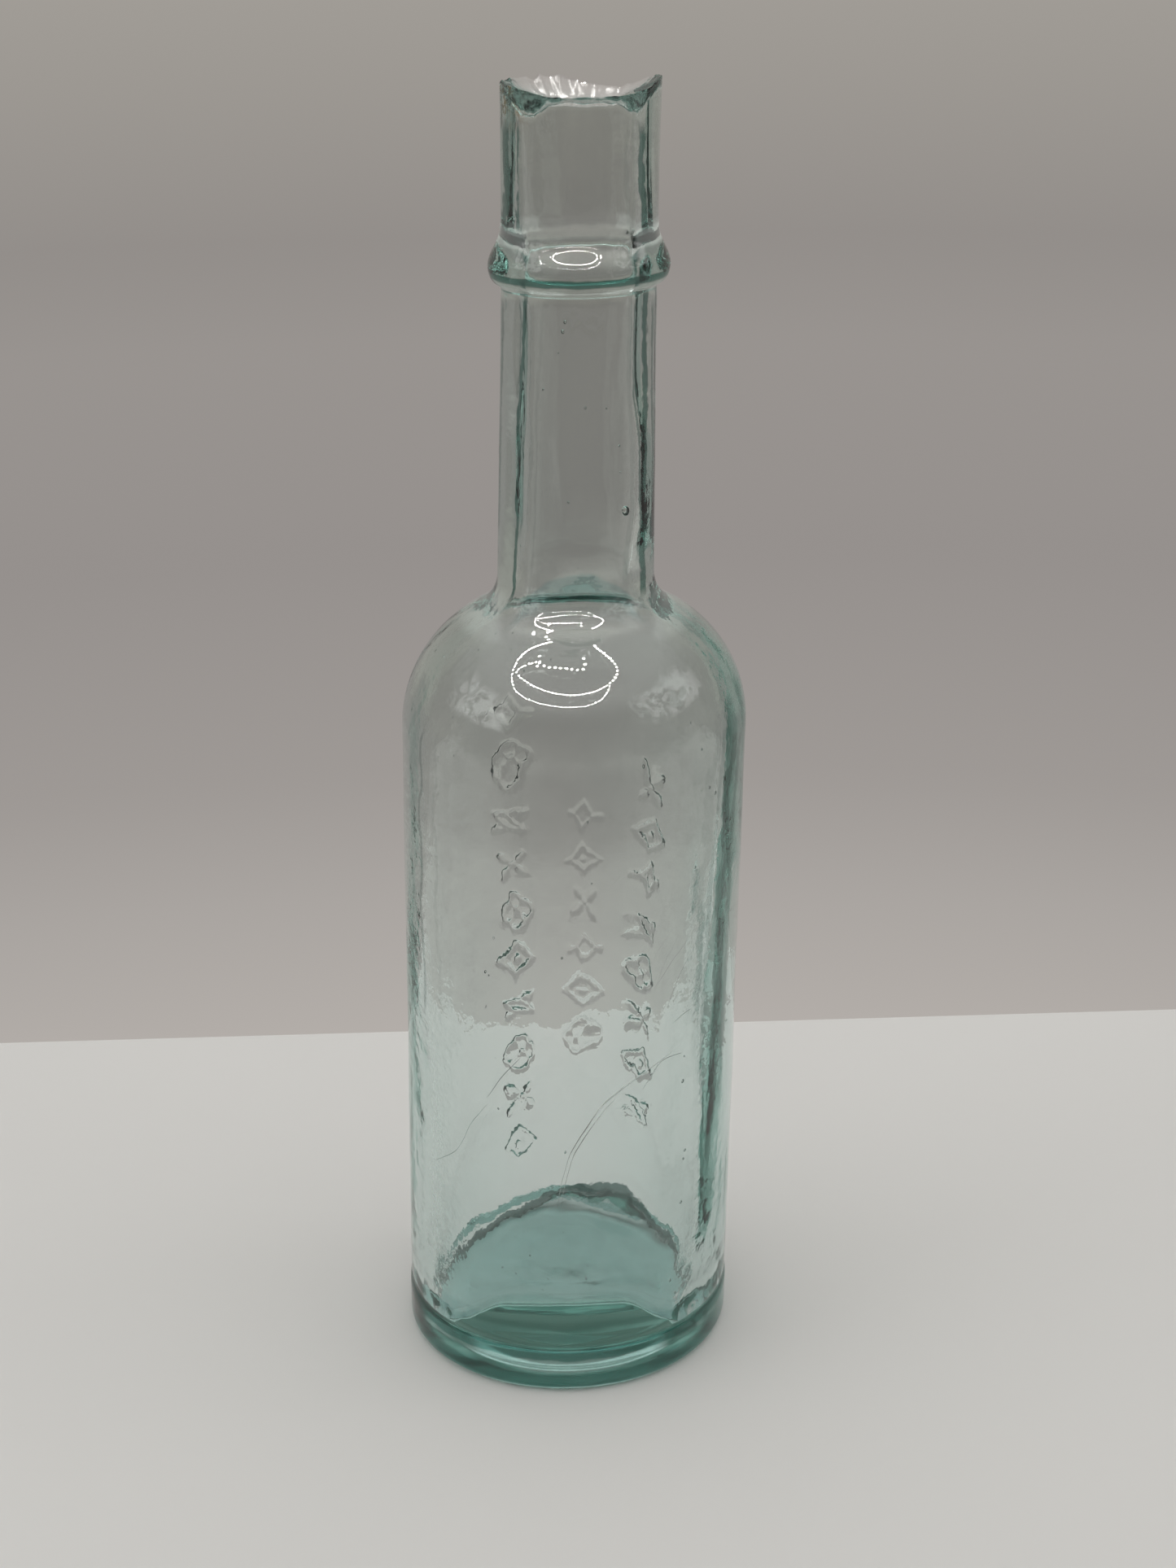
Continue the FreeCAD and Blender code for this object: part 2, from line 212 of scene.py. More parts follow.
RELIEF = []            # azimuth, height, kind, turn, rise of the relief, size
for i in range(10):
    RELIEF.append((114.3 + 0.6 * math.sin(2.1 * i), 20.2 + 9.75 * i, (0, 3, 1, 2, 0, 1, 3, 2, 1, 4)[i], 6 * math.sin(3.7 * i), 0.46 - 0.010 * i, 1.0))
for i in range(6):
    RELIEF.append((80.6 + 0.5 * math.sin(1.7 * i), 41.5 + 9.4 * i, (1, 0, 4, 3, 0, 4)[i], 5 * math.sin(2.9 * i), 0.30 - 0.016 * i, 0.92))
for i in range(8):
    RELIEF.append((53.2 - 1.0 * math.sin(0.4 * i), 28.5 + 9.5 * i, (2, 0, 3, 1, 2, 4, 0, 3)[i], 8 + 5 * math.sin(2.3 * i), 0.44, 0.95))
RELIEF.append((97.0, 180.6, 4, 10, 0.16, 0.62))
RELIEF.append((74.0, 179.8, 5, -8, 0.14, 0.8))


def relief(az, z):
    h = np.zeros(np.broadcast(az, z).shape)
    for caz, cz, kind, turned, rise, scale in RELIEF:
        reach = 6.0
        rad = 28.9 if cz < 120 else 12.5
        du = np.radians(turn(az, caz)) * rad
        dv = z - cz
        near = (np.abs(du) < reach) & (np.abs(dv) < reach)
        if not near.any():
            continue
        u, v = rot(du[near] / scale, dv[near] / scale, turned)
        d = motif(kind, u, v)
        level = 1 - smooth(d, -0.36, 0.36)
        h[near] = np.maximum(h[near], rise * level)
    return h


# ------------------------------------------------------------------ inside
FLOOR_Z = 6.8


def inner_wall(az, z):
    """Cavity radius and sideways offset of its centre (mm). The room is a little wider from front to back,
    and its right side is pressed in."""
    z = np.asarray(z, float)
    r = np.interp(z, [5, 20, 45, 80, 100, 112, 118], [24.2, 24.2, 24.3, 24.9, 25.3, 25.35, 25.4])
    ox = np.interp(z, [5, 25, 45, 80, 100, 120, 140, 150, 190, 220], [-0.4, -0.45, -0.5, -0.6, -0.55, -0.5, -0.2, 0.25, 0.35, 0.1])
    wide = np.interp(z, [5, 45, 80, 100, 114], [1.2, 1.4, 1.1, 0.7, 0.0])
    a = np.radians(az)
    round_ = np.where(np.cos(a) > 0, np.sin(a) ** 4, 0.8 * smooth(np.abs(turn(az, 180)), 34, 88) + 0.2 * np.sin(a) ** 4)
    return r + wide * round_, ox


# long folds of the inner wall at the two sides, which gather into the dark bands there:
# azimuth, width in degrees, and how far the wall steps out (mm) by height
FOLDS = [
    (5.8, 14.9, [(55, 0.0), (85, -0.55), (102, -0.81), (118, -0.8), (130, -0.6), (139, 0.0)]),
    (-15.2, 10.6, [(32, 0.0), (50, -0.5), (66, -1.08), (85, -0.7), (100, 0.0)]),
    (7.1, 5.8, [(50, 0.0), (66, -0.25), (85, 0.0)]),
    (-28.7, 8.0, [(85, 0.0), (102, 0.19), (118, 0.1), (128, 0.0)]),
    (-35.5, 9.0, [(15, 0.0), (24, 0.35), (34, 0.75), (45, 0.9), (58, 0.4), (68, 0.0)]),
    (29.6, 10.1, [(15, 0.0), (24, 0.3), (34, 0.65), (45, 0.82), (58, 0.35), (68, 0.0)]),
    (189.2, 9.6, [(60, 0.0), (85, -0.2), (102, -0.32), (122, -0.34), (136, 0.0)]),
    (168.9, 10.5, [(85, 0.0), (102, -0.16), (120, -0.1), (132, 0.0)]),
    (148.1, 12.6, [(25, 0.0), (45, 0.2), (66, 0.13), (90, 0.0)]),
    (172.5, 12.4, [(20, 0.0), (40, -0.12), (66, -0.16), (90, 0.0)]),
    (178.0, 14.1, [(20, 0.0), (40, -0.15), (66, -0.21), (90, 0.0)]),
    (194.2, 13.5, [(143, 0.0), (151, -0.6), (157, -0.94), (164, -0.9), (171, -0.3), (178, 0.0)]),
    (205.5, 8.0, [(163, 0.0), (172, -0.4), (177, -0.46), (184, -0.46), (197, 0.0)]),
    (154.4, 17.2, [(163, 0.0), (177, 0.3), (184, 0.3), (197, 0.0)]),
    (208.3, 16.8, [(184, 0.0), (207, 0.61), (221, 0.61)]),
    (195.4, 17.8, [(184, 0.0), (207, 0.14), (221, 0.14)]),
    (24.0, 20.2, [(143, 0.0), (150, -0.45), (156, -0.63), (167, -0.4), (175, 0.0)]),
    (-34.9, 18.9, [(143, 0.0), (150, 0.4), (156, 0.55), (165, 0.4), (173, 0.0)]),
    (21.9, 17.0, [(165, 0.0), (173, -0.6), (177, -0.75), (184, -0.75), (199, 0.0)]),
    (-21.4, 12.7, [(165, 0.0), (173, -0.7), (177, -0.9), (184, -0.9), (199, 0.0)]),
    (-7.1, 11.6, [(184, 0.0), (209, -0.93), (221, -0.93)]),
    (23.7, 8.0, [(184, 0.0), (209, 0.87), (221, 0.87)]),
]


# painted shade: dark ragged lines on the glass, along the folds: side, half width (mm), strength, place, (azimuth,
# height)
FOLD_SHADE_LINES = [
    ("left", 0.38, 1.0, "neck", [(227.7, 188.6), (225.4, 184.8), (225.1, 181.6), (224.7, 178.4), (223.5, 175.2), (221.9, 171.9), (220.1, 168.6), (220.6, 165.3),
                                 (222.0, 162.0), (220.8, 158.7), (219.9, 155.3), (220.9, 152.0), (219.5, 148.6), (219.1, 145.1), (218.2, 141.7), (216.3, 138.4)]),
    ("right", 0.80, 1.0, "neck", [(326.6, 188.9), (325.0, 185.4), (324.5, 182.2), (325.0, 179.0), (325.6, 175.7), (325.6, 172.5), (326.8, 169.2), (325.1, 165.9),
                                  (326.3, 162.6), (325.7, 159.3), (325.2, 156.0), (326.4, 152.5), (324.6, 149.2), (324.1, 145.9), (326.4, 142.3), (321.9, 138.8)]),
    ("right", 0.65, 0.9, "neck", [(338.6, 186.0), (338.6, 175.2), (339.6, 169.2), (342.3, 161.8), (342.4, 158.4), (342.5, 155.1), (345.5, 151.5), (345.7, 148.1), (346.6, 143.2)]),
    ("left", 0.70, 0.8, "neck", [(192.9, 186.3), (192.9, 176.0), (190.5, 162.6), (187.4, 148.8)]),
    ("left", 1.60, 1.0, "neck", [(200.8, 213.8), (200.8, 211.8), (200.0, 209.1), (203.8, 206.7), (203.8, 204.2), (201.6, 201.7), (197.3, 199.1), (195.3, 196.3)]),
    ("right", 0.85, 1.0, "neck", [(317.2, 213.5), (317.2, 212.2), (316.3, 209.2), (316.7, 206.8), (317.5, 204.3), (321.2, 201.8), (320.6, 199.3), (323.1, 196.5)]),
    ("right", 1.20, 0.72, "body", [(333.9, 116.4), (333.2, 112.3), (328.5, 108.8), (328.5, 104.4), (328.2, 100.1), (329.8, 95.4), (326.7, 91.6), (326.1, 87.2), (329.2, 82.2),
                                  (329.2, 77.6), (328.9, 73.1), (327.7, 68.8), (326.8, 64.3), (325.9, 59.9), (326.5, 55.0), (325.9, 50.4), (324.4, 46.0), (324.4, 41.2), (321.1, 38.0)]),
    ("right", 0.90, 0.5, "body", [(341.0, 116.0), (336.0, 106.0), (334.0, 97.0), (333.5, 86.0), (334.5, 76.0), (333.0, 66.0), (332.5, 56.0), (331.0, 48.0)]),
    ("left", 0.42, 0.6, "body", [(209.9, 118.4), (207.9, 113.8), (208.9, 109.7), (206.2, 104.9), (207.7, 97.9), (208.0, 92.1), (206.5, 87.3), (207.6, 83.0), (208.0, 78.6), (209.0, 74.2), (208.7, 68.0)]),
]


def side_folds(az, z):
    total = np.zeros(np.broadcast(az, z).shape)
    for i, (centre, width, stops) in enumerate(FOLDS):
        t = np.array(stops)
        amount = np.interp(z, t[:, 0], t[:, 1], left=0.0, right=float(t[-1, 1]))
        sway = (1.3 if centre < 90 and t[0, 0] > 180 else 0.5) * np.sin(z * 0.33 + 1.7 * i) + 0.5 * np.sin(z * 0.71 + i)
        total += amount * np.exp(-((turn(az, centre) + sway) / width) ** 2)
    return total


def floor_height(x, y):
    """The floor of the room: level in the middle, rising as a broad slope to the front wall, and creeping
    up the back wall on the right."""
    r, az = np.hypot(x, y), np.degrees(np.arctan2(y, x)) % 360
    slope = 0.9 * np.log1p(np.exp(np.clip((-y - 6.2) * 0.5 / 0.9, -30, 30))) * (1 - smooth(np.abs(x + 1), 9.5, 21))
    dome = 1.5 * (1 - (np.minimum(r, 24.0) / 23.6) ** 4) * smooth(y, -10, 4)
    side = np.interp(az, [0, 32, 44, 53, 60, 72, 85, 104, 116, 130, 146, 161, 180, 220, 320, 360],
                     [0.8, 1.1, 2.6, 4.1, 4.1, 2.6, 1.5, 0.0, -0.3, -0.1, -0.8, -0.3, 0.0, 0.2, 0.2, 0.8])
    return FLOOR_Z + slope + dome + side * smooth(r, 19.5, 24.3)


def corner_round(az):
    return np.interp(az % 360, [0, 30, 42, 55, 68, 80, 100, 170, 200, 240, 300, 330, 360], [0.7, 0.7, 0.8, 0.9, 0.8, 0.7, 0.6, 0.6, 0.7, 0.9, 0.9, 0.7, 0.7])


def inner_stations(az):
    """Half-section of the inside, from the bore at the break down to the middle of the floor.
    Returns r, z and the signed distance from the corner (edge), as arrays of (fine rows, azimuths)."""
    rows_r, rows_z = [], []

    def put(r, z):
        rows_r.append(np.broadcast_to(np.asarray(r, float), az.shape).copy())
        rows_z.append(np.broadcast_to(np.asarray(z, float), az.shape).copy())

    z_break = break_height(az)[1]
    top_r = 9.1
    root_r, shoulder = 9.4, 19.05
    q = 13.5
    dist = shoulder + q
    in_root_r = root_r + q
    in_root_z = SC_Z + math.sqrt(dist ** 2 - (in_root_r - SC_R) ** 2)
    t_in = math.atan2(in_root_z - SC_Z, in_root_r - SC_R)
    n_bore, n_root, n_sh, n_wall, n_corner, n_floor = 33, 8, 17, 55, 6, 14
    for i in range(1, n_bore * K + 1):
        t = i / (n_bore * K)
        put(top_r + (root_r - top_r) * t, z_break + (in_root_z - z_break) * t)
    for i in range(1, n_root * K + 1):
        a = t_in * i / (n_root * K)
        put(in_root_r - q * math.cos(a), in_root_z - q * math.sin(a))
    for i in range(1, n_sh * K + 1):
        a = t_in * (1 - i / (n_sh * K))
        put(SC_R + shoulder * math.cos(a), SC_Z + shoulder * math.sin(a))
    a_ = np.radians(az)
    rc = corner_round(az)
    r_foot = inner_wall(az, 9.0)[0]
    foot_z = floor_height(r_foot * np.cos(a_), r_foot * np.sin(a_)) + rc
    r_foot = inner_wall(az, foot_z)[0]
    for i in range(1, n_wall * K + 1):
        t = i / (n_wall * K)
        z = SC_Z + (foot_z - SC_Z) * t
        put(inner_wall(az, z)[0], z)
    # the corner: a tight round, then the floor
    for i in range(1, n_corner * K + 1):
        a = (i / (n_corner * K)) * math.pi / 2
        r = r_foot - rc * (1 - math.cos(a))
        put(r, floor_height(r * np.cos(a_), r * np.sin(a_)) + rc * (1 - math.sin(a)))
    r_c = rows_r[-1].copy()
    for i in range(1, n_floor * K + 1):
        r = 0.4 + (r_c - 0.4) * (1 - i / (n_floor * K))
        put(r, floor_height(r * np.cos(a_), r * np.sin(a_)))
    r, z = np.array(rows_r), np.array(rows_z)
    # signed distance from the corner, by the width of the crease there: up the wall, then in over the floor
    thick = np.interp(az, [0, 32, 44, 60, 80, 92, 116, 150, 180, 360], [0.7, 0.95, 1.15, 1.2, 1.05, 0.85, 0.8, 0.85, 0.7, 0.6])
    n_up = (n_bore + n_root + n_sh + n_wall) * K
    edge = np.empty_like(r)
    edge[:n_up] = np.minimum(z[:n_up] - (foot_z - rc), 20.0) / thick
    edge[n_up:] = (z[n_up:] - (foot_z - rc) - 1.2 * (r_foot - r[n_up:])) / (1.2 * thick)
    return r, z, edge


# ------------------------------------------------------------------ the lattice
def build_glass():
    az = np.arange(N * K) * 360.0 / (N * K)
    out = outer_stations()
    zo, zi = break_height(az)
    jag = waves(5, 30, 1.2, 6.0, radius=12.5)
    shell = waves(6, 26, 3.0, 9.0, radius=12.5)
    zo = zo + 0.05 * jag(az, 0.0) + 0.05 * np.abs(shell(az, 3.0))
    zi = zi + 0.04 * jag(az, 5.0) - 0.10 * np.abs(shell(az, 9.0))
    zi = np.minimum(zi, 220.2)
    zo = np.minimum(zo, 220.2)

    R = np.repeat(out[:, :1], len(az), axis=1)
    Z = np.repeat(out[:, 1:], len(az), axis=1)
    A = np.repeat(az[None, :], len(out), axis=0)
    # straight mouth above the ring, up to the uneven edge
    t = (np.arange(1, MOUTH_ROWS * K + 1) / (MOUTH_ROWS * K))[:, None]
    z0 = out[-1, 1]
    R = np.vstack([R, 12.5 + 0.05 * t + 0 * az[None, :]])
    Z = np.vstack([Z, z0 + t * (zo[None, :] - z0)])
    A = np.vstack([A, np.repeat(az[None, :], MOUTH_ROWS * K, axis=0)])
    outer_rows = len(R)

    # underside: a low push-up with a short step at the front, running out gently at the back
    front = 1 - smooth(np.abs(turn(A[:13 * K + 1], -90)), 60, 105)
    r1, r2, h1 = 19.0 - 3.0 * front, 20.0 - 2.6 * front, 0.10 + 0.8 * front
    i = np.arange(13 * K + 1)[:, None]
    ta, tb, tc = np.clip(i / (6 * K), 0, 1), np.clip((i - 6 * K) / (4 * K), 0, 1), np.clip((i - 10 * K) / (3 * K), 0, 1)
    R[:13 * K + 1] = 0.4 + (r1 - 0.4) * ta + (r2 - r1) * tb + (29.0 - HEEL - r2) * tc
    Z[:13 * K + 1] = PUSH + (h1 - PUSH) * ta ** (1 + front) + (0.05 - h1) * smooth(tb, 0, 1) - 0.05 * smooth(tc, 0.3, 1)

    # unevenness of the outside
    swell = waves(11, 26, 14, 45, 1.6)
    ripple = waves(12, 60, 3.2, 9.0, 1.5)
    body = smooth(Z, 9.6, 13) * (1 - smooth(Z, 150, 170))
    neck = smooth(Z, 140, 160) * (1 - smooth(Z, 186, 189)) + smooth(Z, 195.5, 197)
    calm = 1 - 0.93 * smooth(Z, 108, 117)
    dr = body * calm * (0.035 * swell(A, Z) + 0.010 * ripple(A, Z))
    dr += neck * (0.03 * swell(A, Z * 1.3) + 0.008 * ripple(A, Z))
    dr += (1 - smooth(Z, 7.6, 8.2)) * smooth(R, 27.5, 29) * (0.03 * swell(A, Z * 2) - 0.03)
    R = R + dr
    R = R - 0.30 * bump_at(turn(A, 90), 0, 22) * smooth(Z, 24, 40) * (1 - smooth(Z, 100, 110))
    R = np.where(Z < 125, np.minimum(R, 29.09), R)
    H = relief(A, Z) * (Z > 9) * (np.arange(outer_rows)[:, None] > 40)
    R = R + H
    R = np.where(np.abs(R * np.sin(np.radians(A))) > 29.08, 29.08 / np.maximum(np.abs(np.sin(np.radians(A))), 0.5), R)
    under = (Z < 1.6) & (R < 26.0)
    Z = Z + under * smooth(R, 9.0, 16.0) * 0.02 * np.clip(swell(A * 1.0, R * 2.0), -1.3, 2)
    ox_outer = np.zeros_like(R)

    # fracture: from the outer edge to the bore
    n_rim = 4
    tr = (np.arange(1, n_rim * K) / (n_rim * K))[:, None]
    r_in = 9.0 + 0.0 * az
    hollow = np.interp(az, [0, 30, 60, 120, 180, 212, 240, 270, 300, 318, 340, 360], [0.3, 0.5, 0.7, 0.6, 0.3, 0.7, 0.35, 0.2, 0.3, 0.7, 0.3, 0.3])
    chip = waves(8, 24, 2.6, 8.0, radius=11.0)
    Rr = 12.55 + (r_in - 12.55) * tr
    Zr = zo + (zi - zo) * (tr ** 0.9) - hollow * np.sin(np.pi * tr ** 0.8) * 0.8
    arc = np.minimum(np.sin(np.pi * tr) * 1.4, 1)
    Zr = Zr + arc * (0.035 * chip(A[:n_rim * K - 1] * 1.0, Rr * 1.2) + 0.04 * np.abs(chip(A[:n_rim * K - 1] + 40, Rr * 1.5)))
    Zr = np.minimum(Zr, 220.25)
    rim_ox = 0.1 * tr + 0 * az[None, :]

    # inside
    Ri, Zi, edge_in = inner_stations(az)
    # the bore starts at the jagged inner edge
    edge_r = np.full_like(az, 9.0)
    Ai = np.repeat(az[None, :], len(Ri), axis=0)
    first = np.vstack([edge_r[None, :], Ri])
    Zi = np.vstack([zi[None, :], Zi])
    Ri = first
    Ai = np.vstack([az[None, :], Ai])
    # pull the upper bore rows so that they start from the jagged edge
    z_even = break_height(az)[1]
    lift = (zi - z_even)[None, :] * (1 - smooth(np.arange(len(Ri))[:, None], 0, 40))
    lift[0] = 0
    Zi = Zi + lift

    swell_i = waves(21, 30, 12, 40, 2.2)
    ripple_i = waves(22, 70, 3.0, 8.0, 1.4)
    ridge = waves(23, 26, 5.0, 11.0, 9.0)
    in_body = smooth(Zi, 12, 22) * (1 - smooth(Zi, 128, 142))
    in_neck = smooth(Zi, 140, 156)
    away = turn(Ai, -10)
    sides = np.abs(np.cos(np.radians(Ai))) ** 3
    di = in_body * (0.06 * swell_i(Ai, Zi) + 0.010 * ripple_i(Ai, Zi) + (0.02 * bump_at(away, 0, 30) + 0.015) * ridge(Ai, Zi))
    mouth = smooth(Zi, 184, 206)
    folds = waves(26, 24, 2.2, 4.2, 6.0, 9.0)
    di += in_neck * ((0.07 - 0.045 * sides) * swell_i(Ai * 1.0, Zi * 1.2) + 0.012 * (1 - 0.7 * sides) * ripple_i(Ai, Zi) + 0.02 * sides * folds(Ai, Zi))
    di -= in_neck * (0.3 + 0.3 * mouth) * np.sin(np.radians(Ai)) ** 2
    di -= side_folds(Ai, Zi)
    low = (1 - smooth(Zi, 10, 14)) * smooth(Ri, 17, 22)
    corner_rag = waves(24, 60, 1.6, 7.0, 1.0, 23.0)
    di += low * (0.10 * corner_rag(Ai, Zi) + 0.12 * swell_i(Ai, Zi))
    Ri = np.maximum(Ri - di, 0.3)
    floor = (1 - smooth(Ri, 20.0, 22.5)) * (1 - smooth(Zi, 18, 24))
    lump = waves(25, 30, 8, 26, 1.0, 14.0)
    xf, yf = Ri * np.cos(np.radians(Ai)), Ri * np.sin(np.radians(Ai))
    dz_floor = 0.10 * np.sin(xf * 0.31 + 0.6) * np.cos(yf * 0.27 - 0.4) + 0.02 * np.sin(xf * 0.9 - yf * 0.7) + 0.02 * np.cos(xf * 0.6 + yf * 1.1)
    dz_floor += 0.012 * lump(Ai, Ri * 1.6) * (1 - smooth(yf, -10, 2)) * smooth(Ri, 4, 8)
    Zi = Zi + floor * dz_floor
    Zi = Zi + low * 0.10 * corner_rag(Ai + 30, Ri * 2.0) * smooth(Ri, 19, 22)

    ox_in = inner_wall(Ai, Zi)[1]
    rr = np.vstack([R, Rr, Ri])
    zz = np.vstack([Z, Zr, Zi])
    ox = np.vstack([ox_outer, rim_ox, ox_in])
    aa = np.vstack([A, A[:n_rim * K - 1], Ai])
    rows = len(rr)
    assert (rows - 1) % K == 0, rows
    M = (rows - 1) // K

    X = (ox + LEAN * zz + rr * np.cos(np.radians(aa)))
    Y = rr * np.sin(np.radians(aa))

    # cells that need the fine lattice: sloping relief, and the fracture
    fine = np.zeros((M, N), bool)
    Hc = np.zeros((rows, N * K))
    Hc[:outer_rows] = H
    Hp = np.hstack([Hc, Hc[:, :1]])
    rim_first, rim_last = (outer_rows - 1) // K - 1, (outer_rows - 1) // K + n_rim
    for i in range(M):
        block = Hp[i * K:(i + 1) * K + 1]
        if block.any():
            cells = np.stack([block[:, j * K:(j + 1) * K + 1] for j in range(N)])
            fine[i] = (cells.max((1, 2)) - cells.min((1, 2))) > 0.02
    fine[rim_first:rim_last + 1] = True
    size = np.where(fine, 1, K)
    zc = zz[::K][:-1, ::K]
    ac = turn(aa[::K][:-1, ::K], -90)
    shine = (np.arange(M)[:, None] < (outer_rows - 1) // K) & (zc > 117) & (zc < 141) & (np.abs(ac) < 56)
    size[shine & (size == K)] = K // 2

    index = -np.ones((rows, N * K), int)
    need = np.zeros((rows, N * K), bool)
    need[::K, ::K] = True
    for i, j in zip(*np.nonzero(size < K)):
        step = size[i, j]
        cols = np.arange(j * K, (j + 1) * K + 1, step) % (N * K)
        need[i * K:(i + 1) * K + 1:step, cols[:, None].T] = True
    index[need] = np.arange(need.sum())
    verts = np.stack([X[need], Y[need], zz[need]], 1) * MM
    inside = (np.arange(rows)[:, None] >= outer_rows + n_rim * K - 1) + 0 * zz
    wavy = inside * (0.35 + 0.65 * smooth(np.abs(np.cos(np.radians(aa))), 0.45, 0.85)) + (1 - inside) * 0.12 * (1 - smooth(zz, 106, 112))
    wavy = wavy * smooth(zz, 7.0, 12.0)
    wavy_need = wavy[need]
    rows_out = np.arange(rows)[:, None] + 0 * zz
    # roughness for the worn underside and the broken rim; on the rim the same values also set painted shade in the
    # glass shader
    scuff_and_shade = 0.15 * ((rows_out < outer_rows) & (zz < 1.3) & (rr < 27.6)) + 0.22 * ((rows_out >= outer_rows) & (rows_out < outer_rows + n_rim * K - 1))
    edge = np.full(zz.shape, 30.0)
    edge[-len(edge_in):] = edge_in
    edge[(edge > -30) & (np.abs(turn(aa, -90)) < 62)] = 30.0
    faces, tags = [], []
    for i in range(M):
        for j in range(N):
            step = size[i, j]
            for a0 in range(i * K, (i + 1) * K, step):
                for b0 in range(j * K, (j + 1) * K, step):
                    a1, b1 = a0 + step, b0 + step
                    ring = [(a0, b) for b in range(b0, b1)] + [(a, b1) for a in range(a0, a1)]
                    ring += [(a1, b) for b in range(b1, b0, -1)] + [(a, b0) for a in range(a1, a0, -1)]
                    poly = [index[a, b % (N * K)] for a, b in ring]
                    faces.append(tuple(v for v in poly if v >= 0))
    # close the middle of the underside and of the floor with fans
    bottom = len(verts)
    verts = np.vstack([verts, [[0, 0, PUSH * MM], [(float(inner_wall(0.0, FLOOR_Z)[1]) + LEAN * FLOOR_Z) * MM, 0, float(zz[-1].mean()) * MM]]])
    for j in range(N):
        p, q = index[0, j * K], index[0, (j + 1) * K % (N * K)]
        faces.append((p, bottom, q))
        p, q = index[-1, j * K], index[-1, (j + 1) * K % (N * K)]
        faces.append((p, q, bottom + 1))
    # which vertices lie on the sharp edges of the fracture
    sharp_rows = (outer_rows - 1, outer_rows - 1 + n_rim * K)
    sharp = set()
    for row in sharp_rows:
        for b in range(N * K):
            p, q = int(index[row, b]), int(index[row, (b + 1) % (N * K)])
            sharp.add((min(p, q), max(p, q)))
    return verts, faces, sharp, dict(r=rr, z=zz, ox=ox, outer_rows=outer_rows, out=out, wavy=np.r_[wavy_need, 0.0, 0.0], scuff_and_shade=np.r_[scuff_and_shade[need], 0.15, 0.0], edge=np.r_[edge[need], 30.0, -30.0])


# ------------------------------------------------------------------ voids: bubbles and cracks
def outer_radius(z):
    z = np.asarray(z, float)
    return np.interp(z, OUT[:, 1][OUT_FROM:], OUT[:, 0][OUT_FROM:])


def icosphere(levels):
    g = (1 + math.sqrt(5)) / 2
    v = [(-1, g, 0), (1, g, 0), (-1, -g, 0), (1, -g, 0), (0, -1, g), (0, 1, g), (0, -1, -g), (0, 1, -g), (g, 0, -1), (g, 0, 1), (-g, 0, -1), (-g, 0, 1)]
    f = [(0, 11, 5), (0, 5, 1), (0, 1, 7), (0, 7, 10), (0, 10, 11), (1, 5, 9), (5, 11, 4), (11, 10, 2), (10, 7, 6), (7, 1, 8),
         (3, 9, 4), (3, 4, 2), (3, 2, 6), (3, 6, 8), (3, 8, 9), (4, 9, 5), (2, 4, 11), (6, 2, 10), (8, 6, 7), (9, 8, 1)]
    v = [np.array(p) / math.hypot(1, g) for p in v]
    for _ in range(levels):
        mid, new = {}, []

        def half(a, b):
            key = (min(a, b), max(a, b))
            if key not in mid:
                m = v[a] + v[b]
                v.append(m / np.linalg.norm(m))
                mid[key] = len(v) - 1
            return mid[key]
        for a, b, c in f:
            ab, bc, ca = half(a, b), half(b, c), half(c, a)
            new += [(a, ab, ca), (b, bc, ab), (c, ca, bc), (ab, bc, ca)]
        f = new
    return np.array(v), f


def place(az, z, depth):
    """Point in the wall at that depth under the outside, and its outward, round and up directions."""
    r = float(outer_radius(z)) - depth
    a = math.radians(az)
    out = np.array([math.cos(a), math.sin(a), 0.0])
    side = np.array([-math.sin(a), math.cos(a), 0.0])
    return np.array([LEAN * z, 0, z]) + r * out, out, side, np.array([LEAN, 0, 1.0])


def add_bubble(store, az, z, depth, wide, tall, thick, levels=1, twist=0.0):
    v, f = icosphere(levels)
    p, out, side, up = place(az, z, depth)
    c, s = math.cos(math.radians(twist)), math.sin(math.radians(twist))
    side, up = side * c + up * s, up * c - side * s
    pts = p + v[:, :1] * side * wide / 2 + v[:, 1:2] * up * tall / 2 + v[:, 2:3] * out * thick / 2
    store_add(store, pts, f)


def store_add(store, pts, f):
    base = store["n"]
    pts = np.asarray(pts)
    f = [tuple(int(i) for i in t) for t in f]
    vol = 0.0
    for t in f:
        for k in range(1, len(t) - 1):
            vol += np.dot(pts[t[0]], np.cross(pts[t[k]], pts[t[k + 1]]))
    if vol > 0:        # a void's normals point into it
        f = [t[::-1] for t in f]
    store["v"].append(pts * MM)
    store["f"] += [tuple(i + base for i in t) for t in f]
    store["n"] += len(pts)


